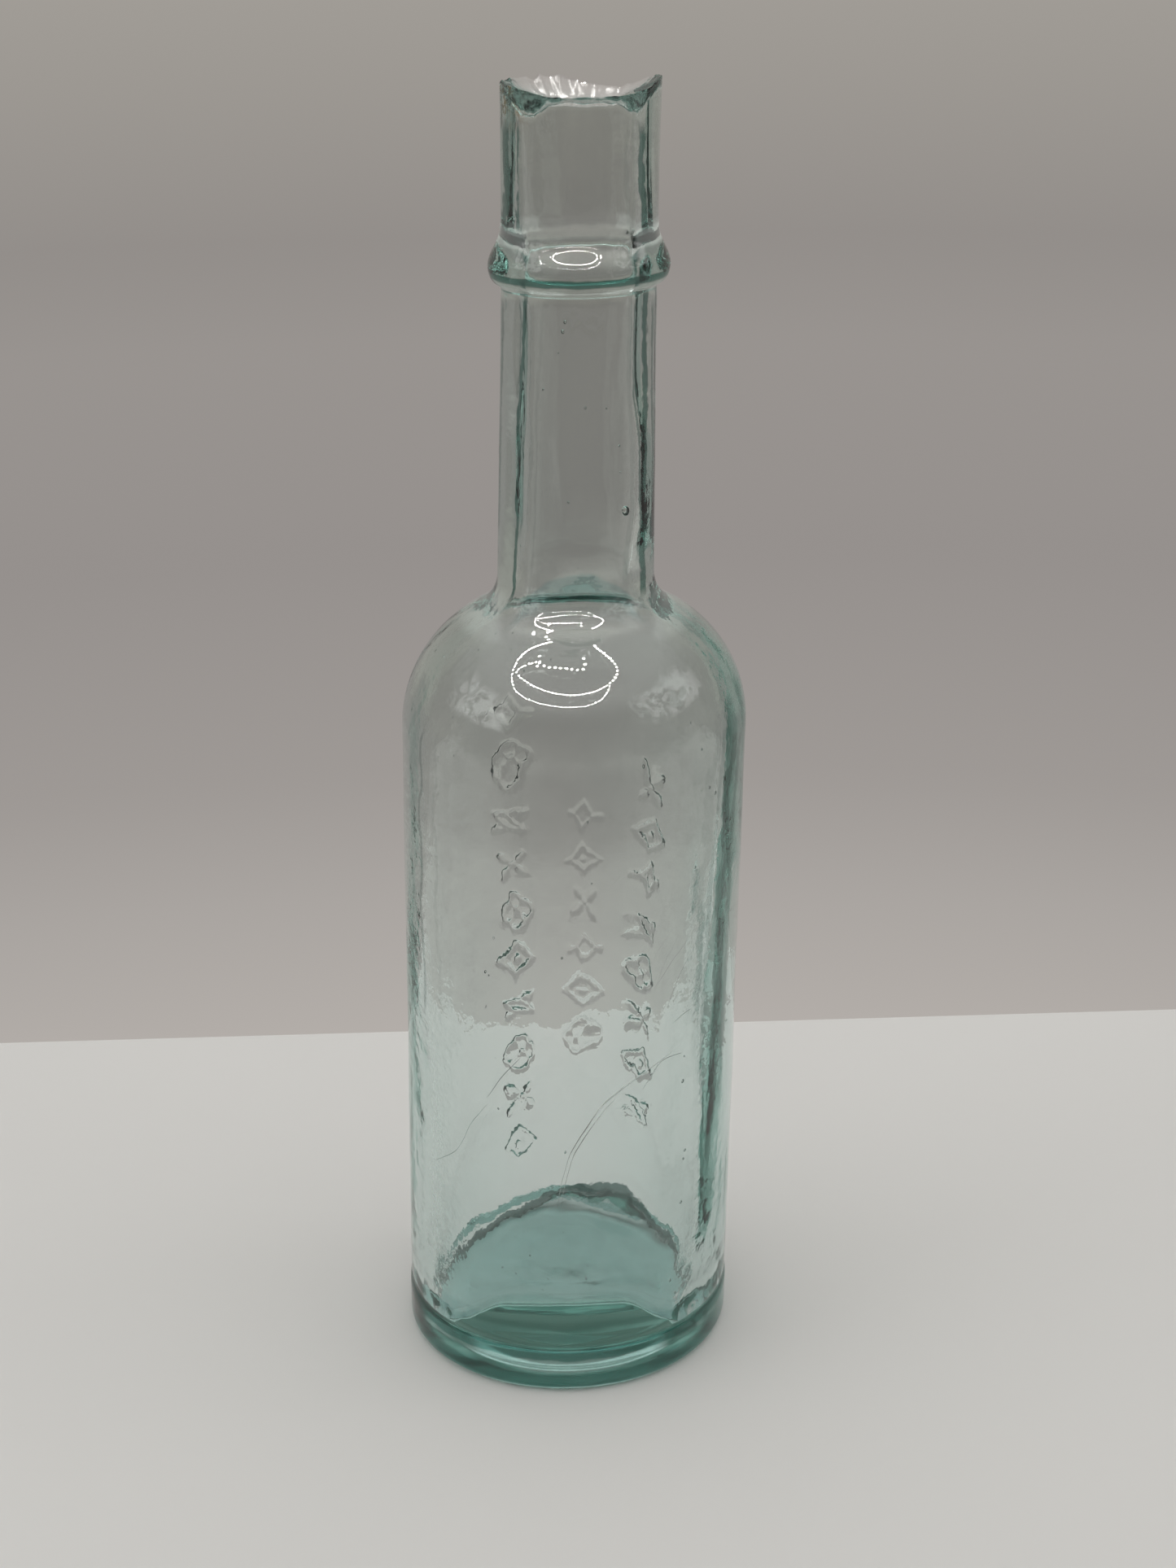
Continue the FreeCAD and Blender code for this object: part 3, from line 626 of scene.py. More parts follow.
def add_hair(store, path, width, depth=0.35, seed=0, deep=1.0, lean=0.0):
    """A hairline crack: a thin void that follows the outside along path [(azimuth, height)], narrow
    across and reaching `deep` millimetres into the wall, leaning sideways as it goes in."""
    path = np.array(path, float)
    d = np.hypot(np.radians(np.diff(path[:, 0])) * 28.9, np.diff(path[:, 1]))
    s = np.r_[0, np.cumsum(d)]
    n = max(int(s[-1] / 0.7), 4)
    t = np.linspace(0, s[-1], n + 1)
    az, z = np.interp(t, s, path[:, 0]), np.interp(t, s, path[:, 1])
    kern = np.array([1, 2, 3, 2, 1]) / 9
    pad = lambda q: np.convolve(np.r_[2 * q[0] - q[2], 2 * q[0] - q[1], q, 2 * q[-1] - q[-2], 2 * q[-1] - q[-3]], kern, "valid")
    az, z = pad(az), pad(z)
    rng = np.random.default_rng(seed)
    wob = np.convolve(rng.normal(size=n + 5), kern, "valid")
    z = z + 0.10 * wob
    cents, outs, sides = [], [], []
    for a, h in zip(az, z):
        p, o, sd, up = place(a, h, depth)
        cents.append(p); outs.append(o)
    cents, outs = np.array(cents), np.array(outs)
    tang = np.gradient(cents, axis=0)
    tang /= np.linalg.norm(tang, axis=1)[:, None]
    across = np.cross(outs, tang)
    taper = np.sin(np.pi * np.clip(np.arange(n + 1) / n, 0.0, 1.0)) ** 0.4
    taper[0] = taper[-1] = 0.02
    ring = []
    for i in range(n + 1):
        w = width * taper[i] * (0.75 + 0.35 * abs(wob[i]))
        inw = -outs[i] * deep * taper[i] + across[i] * lean * taper[i]
        c = cents[i]
        ring.append([c + across[i] * w / 2, c + outs[i] * 0.03 * taper[i], c - across[i] * w / 2, c + inw - across[i] * w * 0.15, c + inw * 1.02, c + inw + across[i] * w * 0.15])
    pts = np.array(ring).reshape(-1, 3)
    m = 6
    f = []
    for i in range(n):
        for k in range(m):
            a, b = i * m + k, i * m + (k + 1) % m
            f.append((a, b, b + m, a + m))
    f.append(tuple(range(m))[::-1])
    f.append(tuple(n * m + k for k in range(m)))
    store_add(store, pts, f)


verts, faces, sharp, grid = build_glass()
OUT = grid["out"]
OUT_FROM = int(np.argmax((OUT[:, 1] >= 3.7) & (OUT[:, 0] > 28)))

store = {"v": [], "f": [], "n": len(verts)}
# the large bubble in the neck, then seeds
add_bubble(store, -50.1, 153.5, 1.7, 1.35, 1.7, 1.1, 3, 20)
SEEDS = [(-102.2, 184.4, 0.5), (-103.9, 182.9, 0.55), (-85.9, 170.9, 0.42), (-69.7, 170.7, 0.3), (-118.9, 173.7, 0.35), (-97.9, 155.8, 0.38),
         (-113.4, 130.2, 0.35), (-137.3, 134.1, 0.4), (-128.0, 134.5, 0.35), (-95.1, 83.6, 0.4), (-40.7, 109.2, 0.5), (-37.2, 107.7, 0.6),
         (-45.1, 116.4, 0.4), (-47.0, 43.1, 0.5), (-48.1, 41.7, 0.45), (-49.0, 56.8, 0.6), (-48.5, 61.4, 0.35), (-49.0, 33.4, 0.55),
         (-117.2, 54.6, 0.35), (-105.4, 27.1, 0.35), (-85.5, 22.8, 0.45), (-85.2, 25.3, 0.35), (-52.5, 18.2, 0.55), (-50.0, 15.2, 0.5),
         (-115.8, 23.7, 0.35), (-110.4, 23.2, 0.3)]
rng = np.random.default_rng(404)
for a, h, size in SEEDS:
    add_bubble(store, a, h, 0.9 + rng.uniform(0, 0.9), size * 0.9, size * 1.25, size * 0.8, 2 if size > 0.45 else 1, rng.uniform(-40, 40))
for _ in range(58):
    a, h = rng.uniform(0, 360), rng.uniform(14, 184)
    size = 0.18 + 0.22 * rng.random() ** 2
    add_bubble(store, a, h, rng.uniform(0.5, 2.0), size, size * rng.uniform(1.0, 2.2), size, 1, rng.uniform(-20, 20))
# hairline cracks on the front
add_hair(store, [(-95.7, 37.1), (-94.6, 41.5), (-91.8, 47.4), (-86.8, 52.0), (-81.1, 56.3), (-74.5, 59.0), (-67.0, 61.1), (-54.3, 63.9)], 0.040, 0.30, 1, 0.30, 0.08)
add_hair(store, [(-94.5, 37.4), (-93.2, 41.5), (-90.6, 47.0), (-85.8, 51.2), (-80.4, 55.2), (-76.0, 57.2)], 0.040, 0.80, 2, 0.20, 0.08)
add_hair(store, [(-48.5, 84.1), (-52.8, 82.4), (-57.1, 80.2), (-61.0, 77.9), (-64.7, 75.7)], 0.040, 0.30, 3, 0.25, 0.08)
add_hair(store, [(-46.3, 81.5), (-49.5, 80.2), (-52.5, 78.0), (-55.5, 75.2), (-58.2, 72.1)], 0.040, 0.30, 4, 0.28, 0.08)
add_hair(store, [(-66.9, 58.1), (-63.5, 60.2), (-60.3, 62.6), (-55.5, 62.9), (-50.6, 62.8)], 0.040, 0.30, 5, 0.22, 0.08)
add_hair(store, [(-55.3, 69.0), (-51.5, 69.8), (-47.3, 70.3)], 0.040, 0.30, 6, 0.18, 0.08)
add_hair(store, [(-145.7, 40.2), (-140.0, 42.0), (-134.4, 44.1), (-131.0, 47.0), (-128.7, 49.9), (-125.0, 52.6), (-120.3, 55.7)], 0.040, 0.30, 7, 0.14, 0.08)
add_hair(store, [(-121.3, 56.4), (-115.0, 61.2), (-108.4, 65.3)], 0.040, 0.40, 8, 0.12, 0.08)

all_verts = np.vstack([verts] + store["v"])
all_faces = faces + store["f"]
mesh = bpy.data.meshes.new("bottle_glass")
mesh.from_pydata([tuple(v) for v in all_verts], [], all_faces)
mesh.validate()
mesh.polygons.foreach_set("use_smooth", np.ones(len(mesh.polygons), bool))
sharp_flag = np.zeros(len(mesh.edges), bool)
ev = np.empty(len(mesh.edges) * 2, int)
mesh.edges.foreach_get("vertices", ev)
for i, (a, b) in enumerate(np.sort(ev.reshape(-1, 2), axis=1)):
    if (int(a), int(b)) in sharp:
        sharp_flag[i] = True
attr = mesh.attributes.new("sharp_edge", "BOOLEAN", "EDGE")
attr.data.foreach_set("value", sharp_flag)
for key, rest in (("wavy", 0.0), ("scuff_and_shade", 0.0), ("edge", 30.0)):
    layer = mesh.attributes.new(key, "FLOAT", "POINT")
    values = np.full(len(mesh.vertices), rest, np.float32)
    values[:len(grid[key])] = grid[key]
    layer.data.foreach_set("value", values)
mesh.update()
glass = bpy.data.objects.new("bottle_glass", mesh)
bpy.context.collection.objects.link(glass)


# ------------------------------------------------------------------ glass
def new_material(name):
    m = bpy.data.materials.new(name)
    m.use_nodes = True
    m.node_tree.nodes.clear()
    return m, m.node_tree.nodes, m.node_tree.links


def glass_material():
    m, n, l = new_material("aqua_glass")
    out = n.new("ShaderNodeOutputMaterial")
    bsdf = n.new("ShaderNodeBsdfPrincipled")
    bsdf.inputs["Base Color"].default_value = (1, 1, 1, 1)
    bsdf.inputs["Roughness"].default_value = 0.0
    bsdf.inputs["IOR"].default_value = 1.52
    bsdf.inputs["Transmission Weight"].default_value = 1.0
    vol = n.new("ShaderNodeVolumeAbsorption")
    vol.inputs["Color"].default_value = (0.20, 0.567, 0.50, 1)
    vol.inputs["Density"].default_value = 36.0
    tc = n.new("ShaderNodeTexCoord")
    hammer = n.new("ShaderNodeTexNoise")
    hammer.inputs["Scale"].default_value = 460.0
    hammer.inputs["Detail"].default_value = 2.0
    hammer.inputs["Roughness"].default_value = 0.5
    wavy = n.new("ShaderNodeAttribute")
    wavy.attribute_name = "wavy"
    centred = n.new("ShaderNodeMath")
    centred.operation = "SUBTRACT"
    centred.inputs[1].default_value = 0.5
    amount = n.new("ShaderNodeMath")
    amount.operation = "MULTIPLY"
    l.new(tc.outputs["Object"], hammer.inputs["Vector"])
    l.new(hammer.outputs["Fac"], centred.inputs[0])
    l.new(centred.outputs[0], amount.inputs[0])
    l.new(wavy.outputs["Fac"], amount.inputs[1])
    b1 = n.new("ShaderNodeBump")
    b1.inputs["Strength"].default_value = 0.6
    b1.inputs["Distance"].default_value = 0.00011
    l.new(amount.outputs[0], b1.inputs["Height"])
    # the glass greyer from the middle of the body up to the neck, and a brown stain at the left of the break
    sep = n.new("ShaderNodeSeparateXYZ")
    l.new(tc.outputs["Object"], sep.inputs["Vector"])
    height_grey = n.new("ShaderNodeValToRGB")
    high = n.new("ShaderNodeMapRange")
    high.inputs["From Min"].default_value = 0.0
    high.inputs["From Max"].default_value = 0.22
    l.new(sep.outputs["Z"], high.inputs["Value"])
    l.new(high.outputs["Result"], height_grey.inputs["Fac"])
    el = height_grey.color_ramp.elements
    el[0].position, el[0].color = 0.25, (1, 1, 1, 1)
    el[1].position, el[1].color = 0.62, (0.90, 0.895, 0.885, 1)
    e = el.new(0.42)
    e.color = (0.95, 0.945, 0.94, 1)
    spot = n.new("ShaderNodeVectorMath")
    spot.operation = "DISTANCE"
    spot.inputs[1].default_value = (-0.0062, -0.0035, 0.2180)
    l.new(tc.outputs["Object"], spot.inputs[0])
    near = n.new("ShaderNodeMapRange")
    near.inputs["From Min"].default_value = 0.0075
    near.inputs["From Max"].default_value = 0.0025
    l.new(spot.outputs["Value"], near.inputs["Value"])
    dirt = n.new("ShaderNodeTexNoise")
    dirt.inputs["Scale"].default_value = 900.0
    dirt.inputs["Detail"].default_value = 4.0
    l.new(tc.outputs["Object"], dirt.inputs["Vector"])
    patch = n.new("ShaderNodeMapRange")
    patch.inputs["From Min"].default_value = 0.46
    patch.inputs["From Max"].default_value = 0.60
    l.new(dirt.outputs["Fac"], patch.inputs["Value"])
    stain = n.new("ShaderNodeMath")
    stain.operation = "MULTIPLY"
    l.new(near.outputs["Result"], stain.inputs[0])
    l.new(patch.outputs["Result"], stain.inputs[1])
    tint = n.new("ShaderNodeMix")
    tint.data_type = "RGBA"
    l.new(stain.outputs[0], tint.inputs["Factor"])
    l.new(height_grey.outputs["Color"], tint.inputs["A"])
    tint.inputs["B"].default_value = (0.42, 0.26, 0.12, 1)

    def part(value, a, b):
        m = n.new("ShaderNodeMapRange")
        m.interpolation_type = "SMOOTHSTEP"
        m.inputs["From Min"].default_value = a
        m.inputs["From Max"].default_value = b
        l.new(value, m.inputs["Value"])
        return m.outputs["Result"]

    def calc(op, a, b):
        m = n.new("ShaderNodeMath")
        m.operation = op
        for k, v in enumerate((a, b)):
            if isinstance(v, (int, float)):
                m.inputs[k].default_value = v
            else:
                l.new(v, m.inputs[k])
        return m.outputs[0]

    def shade(colour, factor, to):
        m = n.new("ShaderNodeMix")
        m.data_type = "RGBA"
        l.new(factor, m.inputs["Factor"])
        l.new(colour, m.inputs["A"])
        m.inputs["B"].default_value = (*to, 1)
        return m.outputs["Result"]
    # painted shade: a dark line along the crease where the wall meets the floor of the room; the floor of the room, and
    # the glass in front of it, tinted deeper teal
    edge = n.new("ShaderNodeAttribute")
    edge.attribute_name = "edge"
    rag = n.new("ShaderNodeTexNoise")
    rag.inputs["Scale"].default_value = 620.0
    rag.inputs["Detail"].default_value = 3.0
    l.new(tc.outputs["Object"], rag.inputs["Vector"])
    ragged = calc("ADD", edge.outputs["Fac"], calc("MULTIPLY", calc("SUBTRACT", rag.outputs["Fac"], 0.5), 2.2))
    crease = calc("MULTIPLY", part(ragged, 1.9, 1.3), part(ragged, -1.3, -0.7))
    axis = n.new("ShaderNodeCombineXYZ")
    l.new(sep.outputs["X"], axis.inputs["X"])
    l.new(sep.outputs["Y"], axis.inputs["Y"])
    reach = n.new("ShaderNodeVectorMath")
    reach.operation = "LENGTH"
    l.new(axis.outputs["Vector"], reach.inputs[0])
    base = calc("MAXIMUM", part(edge.outputs["Fac"], 0.5, -0.5), part(reach.outputs["Value"], 0.0215, 0.0200))
    base = calc("MAXIMUM", base, part(sep.outputs["Y"], -0.011, -0.014))
    base = calc("MULTIPLY", base, calc("MULTIPLY", part(sep.outputs["Z"], 0.0040, 0.0050), part(sep.outputs["Z"], 0.0135, 0.0120)))
    base = calc("MULTIPLY", base, part(reach.outputs["Value"], 0.0262, 0.0256))
    colour = shade(tint.outputs["Result"], calc("MULTIPLY", base, 0.8), (0.48, 0.64, 0.66))
    # painted shade along the crease
    colour = shade(colour, crease, (0.03, 0.06, 0.055))
    # painted shade: a dark teal line under the ring, on the front only
    flat = n.new("ShaderNodeCombineXYZ")
    l.new(calc("SUBTRACT", sep.outputs["X"], 0.00507), flat.inputs["X"])
    l.new(sep.outputs["Y"], flat.inputs["Y"])
    dist = n.new("ShaderNodeVectorMath")
    dist.operation = "LENGTH"
    l.new(flat.outputs["Vector"], dist.inputs[0])
    wob = n.new("ShaderNodeTexNoise")
    wob.inputs["Scale"].default_value = 220.0
    l.new(tc.outputs["Object"], wob.inputs["Vector"])
    level = calc("ADD", sep.outputs["Z"], calc("MULTIPLY", calc("SUBTRACT", wob.outputs["Fac"], 0.5), 0.0007))
    line = calc("MULTIPLY", part(level, 0.18970, 0.19010), part(level, 0.19135, 0.19100))
    line = calc("MULTIPLY", line, calc("MULTIPLY", part(dist.outputs["Value"], 0.0126, 0.0130), part(sep.outputs["Y"], 0.001, -0.004)))
    colour = shade(colour, line, (0.03, 0.12, 0.10))
    scuff_and_shade = n.new("ShaderNodeAttribute")
    scuff_and_shade.attribute_name = "scuff_and_shade"
    # painted shade: deeper teal on the front of the broken rim
    colour = shade(colour, calc("MULTIPLY", part(scuff_and_shade.outputs["Fac"], 0.16, 0.20), part(sep.outputs["Y"], 0.004, -0.003)), (0.13, 0.38, 0.335))
    # painted shade: dark ragged lines at the sides, where the folds carry the light away
    leaning = calc("SUBTRACT", sep.outputs["X"], calc("MULTIPLY", sep.outputs["Z"], LEAN))
    round_ = n.new("ShaderNodeCombineXYZ")
    l.new(leaning, round_.inputs["X"])
    l.new(sep.outputs["Y"], round_.inputs["Y"])
    radius = n.new("ShaderNodeVectorMath")
    radius.operation = "LENGTH"
    l.new(round_.outputs["Vector"], radius.inputs[0])
    to_right = calc("ARCTAN2", sep.outputs["Y"], leaning)
    to_left = calc("ARCTAN2", calc("MULTIPLY", sep.outputs["Y"], -1.0), calc("MULTIPLY", leaning, -1.0))
    drawn = n.new("ShaderNodeCombineXYZ")
    l.new(sep.outputs["X"], drawn.inputs["X"])
    l.new(sep.outputs["Y"], drawn.inputs["Y"])
    l.new(calc("MULTIPLY", sep.outputs["Z"], 0.22), drawn.inputs["Z"])
    grain = n.new("ShaderNodeTexNoise")
    grain.inputs["Scale"].default_value = 900.0
    grain.inputs["Detail"].default_value = 3.0
    l.new(drawn.outputs["Vector"], grain.inputs["Vector"])
    jag = calc("ADD", calc("MULTIPLY", calc("SUBTRACT", rag.outputs["Fac"], 0.5), 1.5), calc("MULTIPLY", calc("SUBTRACT", grain.outputs["Fac"], 0.5), 1.7))
    on_neck = part(radius.outputs["Value"], 0.0112, 0.0116)
    on_body = part(radius.outputs["Value"], 0.0268, 0.0272)
    for side, width, strength, where, path in FOLD_SHADE_LINES:
        path = sorted((z, turn(a, 180.0 if side == "left" else 0.0)) for a, z in path)
        z0, z1 = path[0][0], path[-1][0]
        a0, a1 = min(a for z, a in path) - 1.0, max(a for z, a in path) + 1.0
        curve = n.new("ShaderNodeFloatCurve")
        spots = [((z - z0) / (z1 - z0), (a - a0) / (a1 - a0)) for z, a in path]
        line_ = curve.mapping.curves[0]
        line_.points[0].location, line_.points[1].location = spots[0], spots[-1]
        for q in spots[1:-1]:
            line_.points.new(*q)
        curve.mapping.update()
        t = n.new("ShaderNodeMapRange")
        t.inputs["From Min"].default_value = z0 * MM
        t.inputs["From Max"].default_value = z1 * MM
        l.new(sep.outputs["Z"], t.inputs["Value"])
        l.new(t.outputs["Result"], curve.inputs["Value"])
        centre = calc("ADD", calc("MULTIPLY", curve.outputs["Value"], math.radians(a1 - a0)), math.radians(a0))
        mm = (12.5 if where == "neck" else 28.5) / width
        off = calc("MULTIPLY", calc("SUBTRACT", to_left if side == "left" else to_right, centre), mm)
        off = calc("ABSOLUTE", calc("ADD", off, jag), 0.0)
        ends = calc("MULTIPLY", part(sep.outputs["Z"], (z0 - 1.5) * MM, (z0 + 1.5) * MM), part(sep.outputs["Z"], (z1 + 1.5) * MM, (z1 - 1.5) * MM))
        mask = calc("MULTIPLY", calc("MULTIPLY", part(off, 1.25, 0.75), ends), on_neck if where == "neck" else on_body)
        colour = shade(colour, calc("MULTIPLY", mask, strength), (0.06, 0.145, 0.125))
    # painted shade: a teal patch where the neck's root thickens, in front
    ahead = calc("ARCTAN2", leaning, calc("MULTIPLY", sep.outputs["Y"], -1.0))
    arch = calc("ADD", sep.outputs["Z"], calc("MULTIPLY", calc("MULTIPLY", ahead, ahead), 0.0085))
    arch = calc("ADD", arch, calc("MULTIPLY", calc("SUBTRACT", wob.outputs["Fac"], 0.5), 0.0020))
    root_shade = calc("MULTIPLY", part(arch, 0.1392, 0.1418), part(arch, 0.1444, 0.1436))
    root_shade = calc("MULTIPLY", calc("MULTIPLY", root_shade, part(calc("ABSOLUTE", ahead, 0.0), 0.80, 0.66)), on_neck)
    colour = shade(colour, calc("MULTIPLY", root_shade, 0.60), (0.30, 0.58, 0.60))
    # painted light: a glow in the glass above the ring and at the neck's root, where the path through it goes on and on
    far = calc("ABSOLUTE", leaning, 0.0)
    glow = calc("MULTIPLY", part(far, 0.0080, 0.0088), calc("MULTIPLY", part(sep.outputs["Z"], 0.1950, 0.1956), part(sep.outputs["Z"], 0.1985, 0.1977)))
    glow = calc("MULTIPLY", glow, on_neck)
    root = calc("MULTIPLY", part(far, 0.0115, 0.0132), calc("MULTIPLY", part(sep.outputs["Z"], 0.1305, 0.1330), part(sep.outputs["Z"], 0.1400, 0.1380)))
    root = calc("MULTIPLY", root, part(radius.outputs["Value"], 0.0205, 0.0185))
    l.new(calc("ADD", calc("MULTIPLY", glow, 0.095), calc("MULTIPLY", calc("MULTIPLY", root, on_neck), 0.05)), bsdf.inputs["Emission Strength"])
    bsdf.inputs["Emission Color"].default_value = (0.93, 1.0, 0.95, 1)
    # painted shade: two dark bands round the heel, for the long paths of light through the thick glass of the foot
    low = calc("ADD", sep.outputs["Z"], calc("MULTIPLY", calc("SUBTRACT", wob.outputs["Fac"], 0.5), 0.0012))
    rim = part(reach.outputs["Value"], 0.0279, 0.0283)
    upper = calc("MULTIPLY", rim, calc("MULTIPLY", part(low, 0.0064, 0.0069), part(low, 0.0090, 0.0085)))
    lower = calc("MULTIPLY", rim, calc("MULTIPLY", part(low, 0.0008, 0.0013), part(low, 0.0041, 0.0036)))
    colour = shade(colour, upper, (0.10, 0.29, 0.26))
    colour = shade(colour, lower, (0.24, 0.47, 0.45))
    l.new(colour, bsdf.inputs["Base Color"])
    rough = n.new("ShaderNodeMath")
    rough.operation = "MULTIPLY"
    rough.inputs[1].default_value = 0.35
    l.new(stain.outputs[0], rough.inputs[0])
    l.new(calc("MAXIMUM", rough.outputs[0], scuff_and_shade.outputs["Fac"]), bsdf.inputs["Roughness"])
    l.new(b1.outputs["Normal"], bsdf.inputs["Normal"])
    l.new(bsdf.outputs["BSDF"], out.inputs["Surface"])
    l.new(vol.outputs["Volume"], out.inputs["Volume"])
    return m


mesh.materials.append(glass_material())
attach(glass, "root")
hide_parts("bottle")


# ------------------------------------------------------------------ stage
def paper_material():
    m, n, l = new_material("stage_paper")
    out = n.new("ShaderNodeOutputMaterial")
    bsdf = n.new("ShaderNodeBsdfPrincipled")
    bsdf.inputs["Roughness"].default_value = 0.95
    bsdf.inputs["Specular IOR Level"].default_value = 0.1
    # the glass gathers light on the paper under the foot, more than path tracing finds there
    tc = n.new("ShaderNodeTexCoord")
    away = n.new("ShaderNodeVectorMath")
    away.operation = "LENGTH"
    glow = n.new("ShaderNodeMapRange")
    glow.inputs["From Min"].default_value = 0.0275
    glow.inputs["From Max"].default_value = 0.0245
    glow.inputs["To Max"].default_value = 1.0
    # painted shade: the sheet darkens towards the front, into the dim
    sep = n.new("ShaderNodeSeparateXYZ")
    front_shade = n.new("ShaderNodeMapRange")
    front_shade.interpolation_type = "SMOOTHSTEP"
    front_shade.inputs["From Min"].default_value = -0.15
    front_shade.inputs["From Max"].default_value = -0.31
    sheet = n.new("ShaderNodeMix")
    sheet.data_type = "RGBA"
    sheet.inputs["A"].default_value = (0.73, 0.722, 0.71, 1)
    sheet.inputs["B"].default_value = (0.20, 0.198, 0.195, 1)
    l.new(tc.outputs["Object"], sep.inputs["Vector"])
    l.new(sep.outputs["Y"], front_shade.inputs["Value"])
    l.new(front_shade.outputs["Result"], sheet.inputs["Factor"])
    l.new(sheet.outputs["Result"], bsdf.inputs["Base Color"])
    l.new(tc.outputs["Object"], away.inputs[0])
    l.new(away.outputs["Value"], glow.inputs["Value"])
    bsdf.inputs["Emission Color"].default_value = (0.157, 0.217, 0.205, 1)
    l.new(glow.outputs["Result"], bsdf.inputs["Emission Strength"])
    l.new(bsdf.outputs["BSDF"], out.inputs["Surface"])
    return m


floor_mesh = bpy.data.meshes.new("stage_floor")
floor_mesh.from_pydata([(-3, -0.31, 0), (3, -0.31, 0), (3, 0.1137, 0), (-3, 0.1137, 0)], [], [(0, 1, 2, 3)])
floor_obj = bpy.data.objects.new("stage_floor", floor_mesh)
floor_mesh.materials.append(paper_material())
bpy.context.collection.objects.link(floor_obj)


def led_mesh():
    """Small emitters in the lid: its outline, the fold inside it and a short row."""
    pts, f = [], []

    def led(x, y, z=350.0, size=5.2):
        s = size / 2
        base = len(pts)
        pts.extend([(x - s, y - s, z), (x + s, y - s, z), (x + s, y + s, z), (x - s, y + s, z)])
        f.append((base, base + 3, base + 2, base + 1))
    outline = [(-41, 27), (-48, 25), (-55, 23), (-63, 21), (-70, 19), (-79, 16), (-87, 12), (-96, 7), (-105, 1), (-114, -7), (-123, -15),
               (-132, -25), (-141, -36), (-151, -48), (-160, -62), (-169, -76), (-176, -93), (-183, -110), (-187, -128), (-188, -147), (-186, -164),
               (-181, -181), (-174, -196), (-166, -209), (-156, -222), (-146, -233), (-134, -243), (-122, -252), (-110, -260), (-97, -268),
               (-83, -274), (-69, -280), (-55, -285), (-41, -288), (-26, -290), (-12, -291), (3, -291), (17, -290), (32, -286), (46, -281),
               (59, -273), (71, -263), (81, -250), (89, -234), (95, -217), (98, -199), (99, -180), (99, -161)]
    fold = [(27, 45), (30, 29), (34, 15), (39, 2), (45, -8), (52, -17), (59, -25), (66, -34), (74, -43), (82, -52), (90, -62), (98, -74),
            (104, -89), (107, -105), (105, -120), (102, -134), (96, -147), (89, -159), (81, -169), (72, -179), (63, -188), (53, -195), (42, -201),
            (30, -205), (19, -209), (7, -210), (-5, -211), (-17, -210), (-29, -208), (-41, -204), (-52, -200), (-63, -194), (-74, -188),
            (-84, -180), (-94, -171), (-103, -162), (-111, -152), (-119, -141), (-126, -130), (-132, -118), (-138, -105), (-143, -92), (-146, -78),
            (-145, -62), (-135, -52), (-123, -48), (-113, -46), (-102, -44), (-93, -43), (-83, -44), (-77, -50), (-85, -60)]
    row = [(-71, -23), (-74, -45), (-69, -63), (-58, -72), (-45, -77), (-33, -81), (-20, -85), (-8, -90), (5, -93), (18, -90), (22, -71), (18, -49)]
    flare = [(-43, 40), (-45, 53), (-46, 66), (-47, 79), (-55, 84), (-66, 78), (29, 57), (34, 70), (42, 82), (51, 92)]
    for x, y in outline + fold + row + flare:
        led(x, y)
    me = bpy.data.meshes.new("stage_leds")
    me.from_pydata([tuple(np.array(p) * MM) for p in pts], [], f)
    m, n, l = new_material("stage_led")
    out = n.new("ShaderNodeOutputMaterial")
    em = n.new("ShaderNodeEmission")
    em.inputs["Color"].default_value = (1, 0.98, 0.95, 1)
    em.inputs["Strength"].default_value = 160.0
    l.new(em.outputs["Emission"], out.inputs["Surface"])
    me.materials.append(m)
    o = bpy.data.objects.new("stage_leds", me)
    o.visible_camera = False
    o.visible_diffuse = False
    o.visible_shadow = False
    o.visible_volume_scatter = False
    bpy.context.collection.objects.link(o)
    return o


led_mesh()


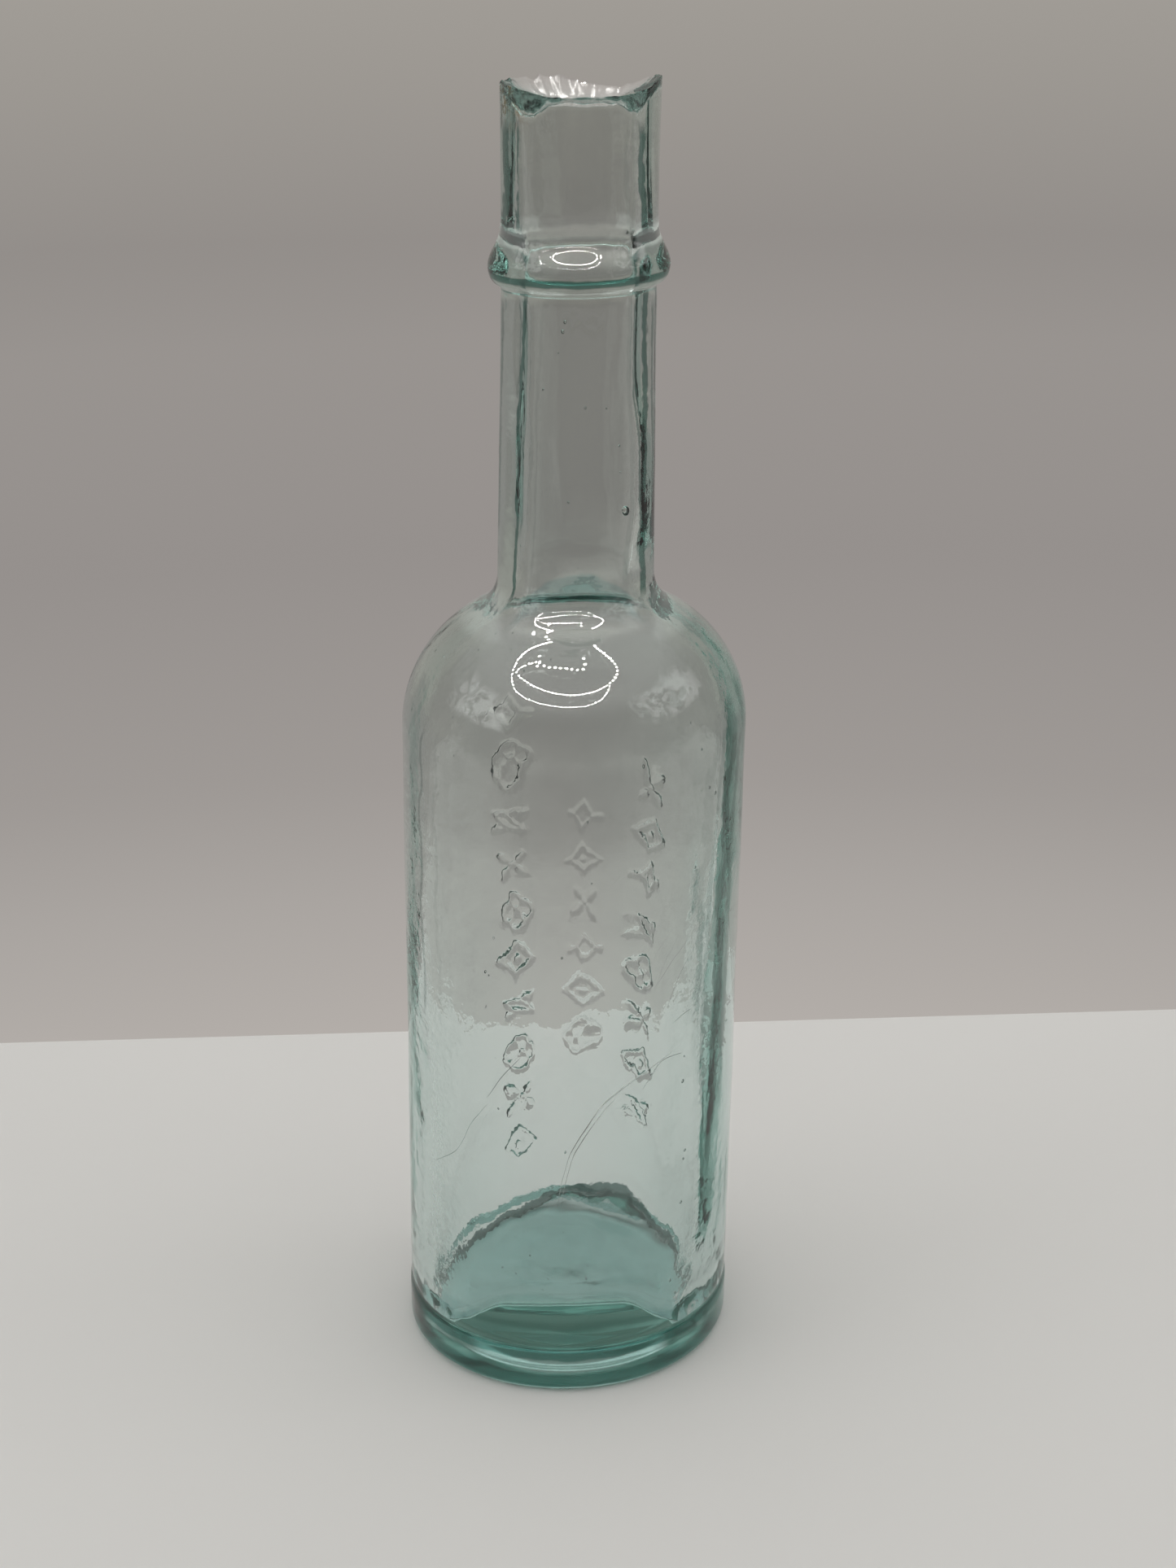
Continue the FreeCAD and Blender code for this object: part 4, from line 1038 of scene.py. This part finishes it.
# ------------------------------------------------------------------ world
def build_world():
    world = bpy.data.worlds.new("studio")
    bpy.context.scene.world = world
    world.use_nodes = True
    n, l = world.node_tree.nodes, world.node_tree.links
    n.clear()
    out = n.new("ShaderNodeOutputWorld")
    bg = n.new("ShaderNodeBackground")
    tc = n.new("ShaderNodeTexCoord")
    sep = n.new("ShaderNodeSeparateXYZ")
    l.new(tc.outputs["Generated"], sep.inputs["Vector"])
    X, Y, Z = sep.outputs["X"], sep.outputs["Y"], sep.outputs["Z"]

    def math_node(op, a, b=None, c=None):
        m = n.new("ShaderNodeMath")
        m.operation = op
        for k, v in enumerate((a, b, c)):
            if v is None:
                continue
            if isinstance(v, (int, float)):
                m.inputs[k].default_value = v
            else:
                l.new(v, m.inputs[k])
        return m.outputs[0]

    def ramp(v, lo, hi, to0=0.0, to1=1.0):
        m = n.new("ShaderNodeMapRange")
        m.interpolation_type = "SMOOTHSTEP"
        l.new(v, m.inputs["Value"])
        m.inputs["From Min"].default_value = lo
        m.inputs["From Max"].default_value = hi
        m.inputs["To Min"].default_value = to0
        m.inputs["To Max"].default_value = to1
        return m.outputs["Result"]

    def curve(v, lo, hi, stops):
        """Colour by value between lo and hi."""
        m = n.new("ShaderNodeMapRange")
        l.new(v, m.inputs["Value"])
        m.inputs["From Min"].default_value = lo
        m.inputs["From Max"].default_value = hi
        cr = n.new("ShaderNodeValToRGB")
        l.new(m.outputs["Result"], cr.inputs["Fac"])
        el = cr.color_ramp.elements
        while len(el) > 1:
            el.remove(el[-1])
        first = True
        for pos, col in stops:
            p = (pos - lo) / (hi - lo)
            if first:
                el[0].position = p
                el[0].color = (*col, 1)
                first = False
            else:
                e = el.new(p)
                e.color = (*col, 1)
        return cr.outputs["Color"]

    def mix(fac, a, b):
        m = n.new("ShaderNodeMix")
        m.data_type = "RGBA"
        l.new(fac, m.inputs["Factor"])
        for v, s in ((a, m.inputs["A"]), (b, m.inputs["B"])):
            if isinstance(v, tuple):
                s.default_value = (*v, 1)
            else:
                l.new(v, s)
        return m.outputs["Result"]

    # back wall, by the sine of elevation: pale at the floor line, greyer above
    wall = curve(Z, -1.0, 1.0, [(-1.0, (0.47, 0.45, 0.43)), (-0.448, (0.45, 0.42, 0.395)), (-0.40, (0.40, 0.375, 0.355)), (-0.355, (0.342, 0.318, 0.302)),
                                (-0.27, (0.302, 0.280, 0.268)), (-0.19, (0.315, 0.293, 0.278)), (-0.15, (0.29, 0.270, 0.255)),
                                (-0.09, (0.333, 0.312, 0.288)), (-0.03, (0.37, 0.35, 0.32)), (0.35, (0.34, 0.325, 0.30)), (0.55, (0.5, 0.49, 0.47))])
    # ceiling
    lid = ramp(Z, 0.50, 0.78)
    sky = mix(lid, wall, (CEIL, CEIL * 0.99, CEIL * 0.965))
    # the open front: dark above the floor, dim below it
    front = math_node("MULTIPLY", ramp(Y, -0.02, -0.45), ramp(Z, 0.68, 0.36))
    open_ = mix(ramp(Z, -0.22, -0.05), (0.14, 0.138, 0.135), (0.06, 0.06, 0.06))
    sky = mix(front, sky, open_)
    # side walls: grey, with a bright foil panel on each
    ax = math_node("ABSOLUTE", X)
    panel = math_node("MULTIPLY", ramp(ax, 0.52, 0.70), math_node("MULTIPLY", ramp(Z, 0.20, 0.30), ramp(Z, 0.66, 0.56)))
    panel = math_node("MULTIPLY", panel, math_node("MULTIPLY", ramp(Y, 0.30, 0.12), ramp(Y, -0.62, -0.50)))
    foil = n.new("ShaderNodeTexNoise")
    foil.inputs["Scale"].default_value = 5.5
    foil.inputs["Detail"].default_value = 5.0
    foil.inputs["Distortion"].default_value = 1.6
    l.new(tc.outputs["Generated"], foil.inputs["Vector"])
    panel = math_node("MULTIPLY", panel, ramp(foil.outputs["Fac"], 0.42, 0.56, 0.10, 1.0))
    sky = mix(panel, sky, (2.05, 2.05, 2.0))
    l.new(sky, bg.inputs["Color"])
    bg.inputs["Strength"].default_value = 1.0
    l.new(bg.outputs["Background"], out.inputs["Surface"])


CEIL = 1.0
build_world()

# ------------------------------------------------------------------ camera
pitch, yaw, roll = 0.367330, 0.030107, -0.015116
fwd = np.array([math.sin(yaw) * math.cos(pitch), math.cos(yaw) * math.cos(pitch), -math.sin(pitch)])
right = np.array([math.cos(yaw), -math.sin(yaw), 0.0])
up = np.cross(right, fwd)
r2 = math.cos(roll) * right + math.sin(roll) * up
u2 = -math.sin(roll) * right + math.cos(roll) * up
cam_data = bpy.data.cameras.new("camera")
cam_data.lens = 56.98
cam_data.sensor_width = 36.0
cam_data.sensor_fit = "AUTO"
cam_data.clip_start = 0.01
cam_data.clip_end = 50.0
cam = bpy.data.objects.new("camera", cam_data)
cam.matrix_world = Matrix(((r2[0], u2[0], -fwd[0], -6.686 * MM), (r2[1], u2[1], -fwd[1], -396.339 * MM),
                           (r2[2], u2[2], -fwd[2], 255.732 * MM), (0, 0, 0, 1)))
bpy.context.collection.objects.link(cam)
scene = bpy.context.scene
scene.camera = cam

scene.view_settings.view_transform = "Standard"
scene.view_settings.look = "None"
scene.cycles.use_denoising = True
scene.cycles.max_bounces = 28
scene.cycles.transmission_bounces = 26
scene.cycles.glossy_bounces = 12
scene.cycles.diffuse_bounces = 3
scene.cycles.caustics_refractive = True
scene.cycles.caustics_reflective = True
scene.cycles.sample_clamp_indirect = 4.0
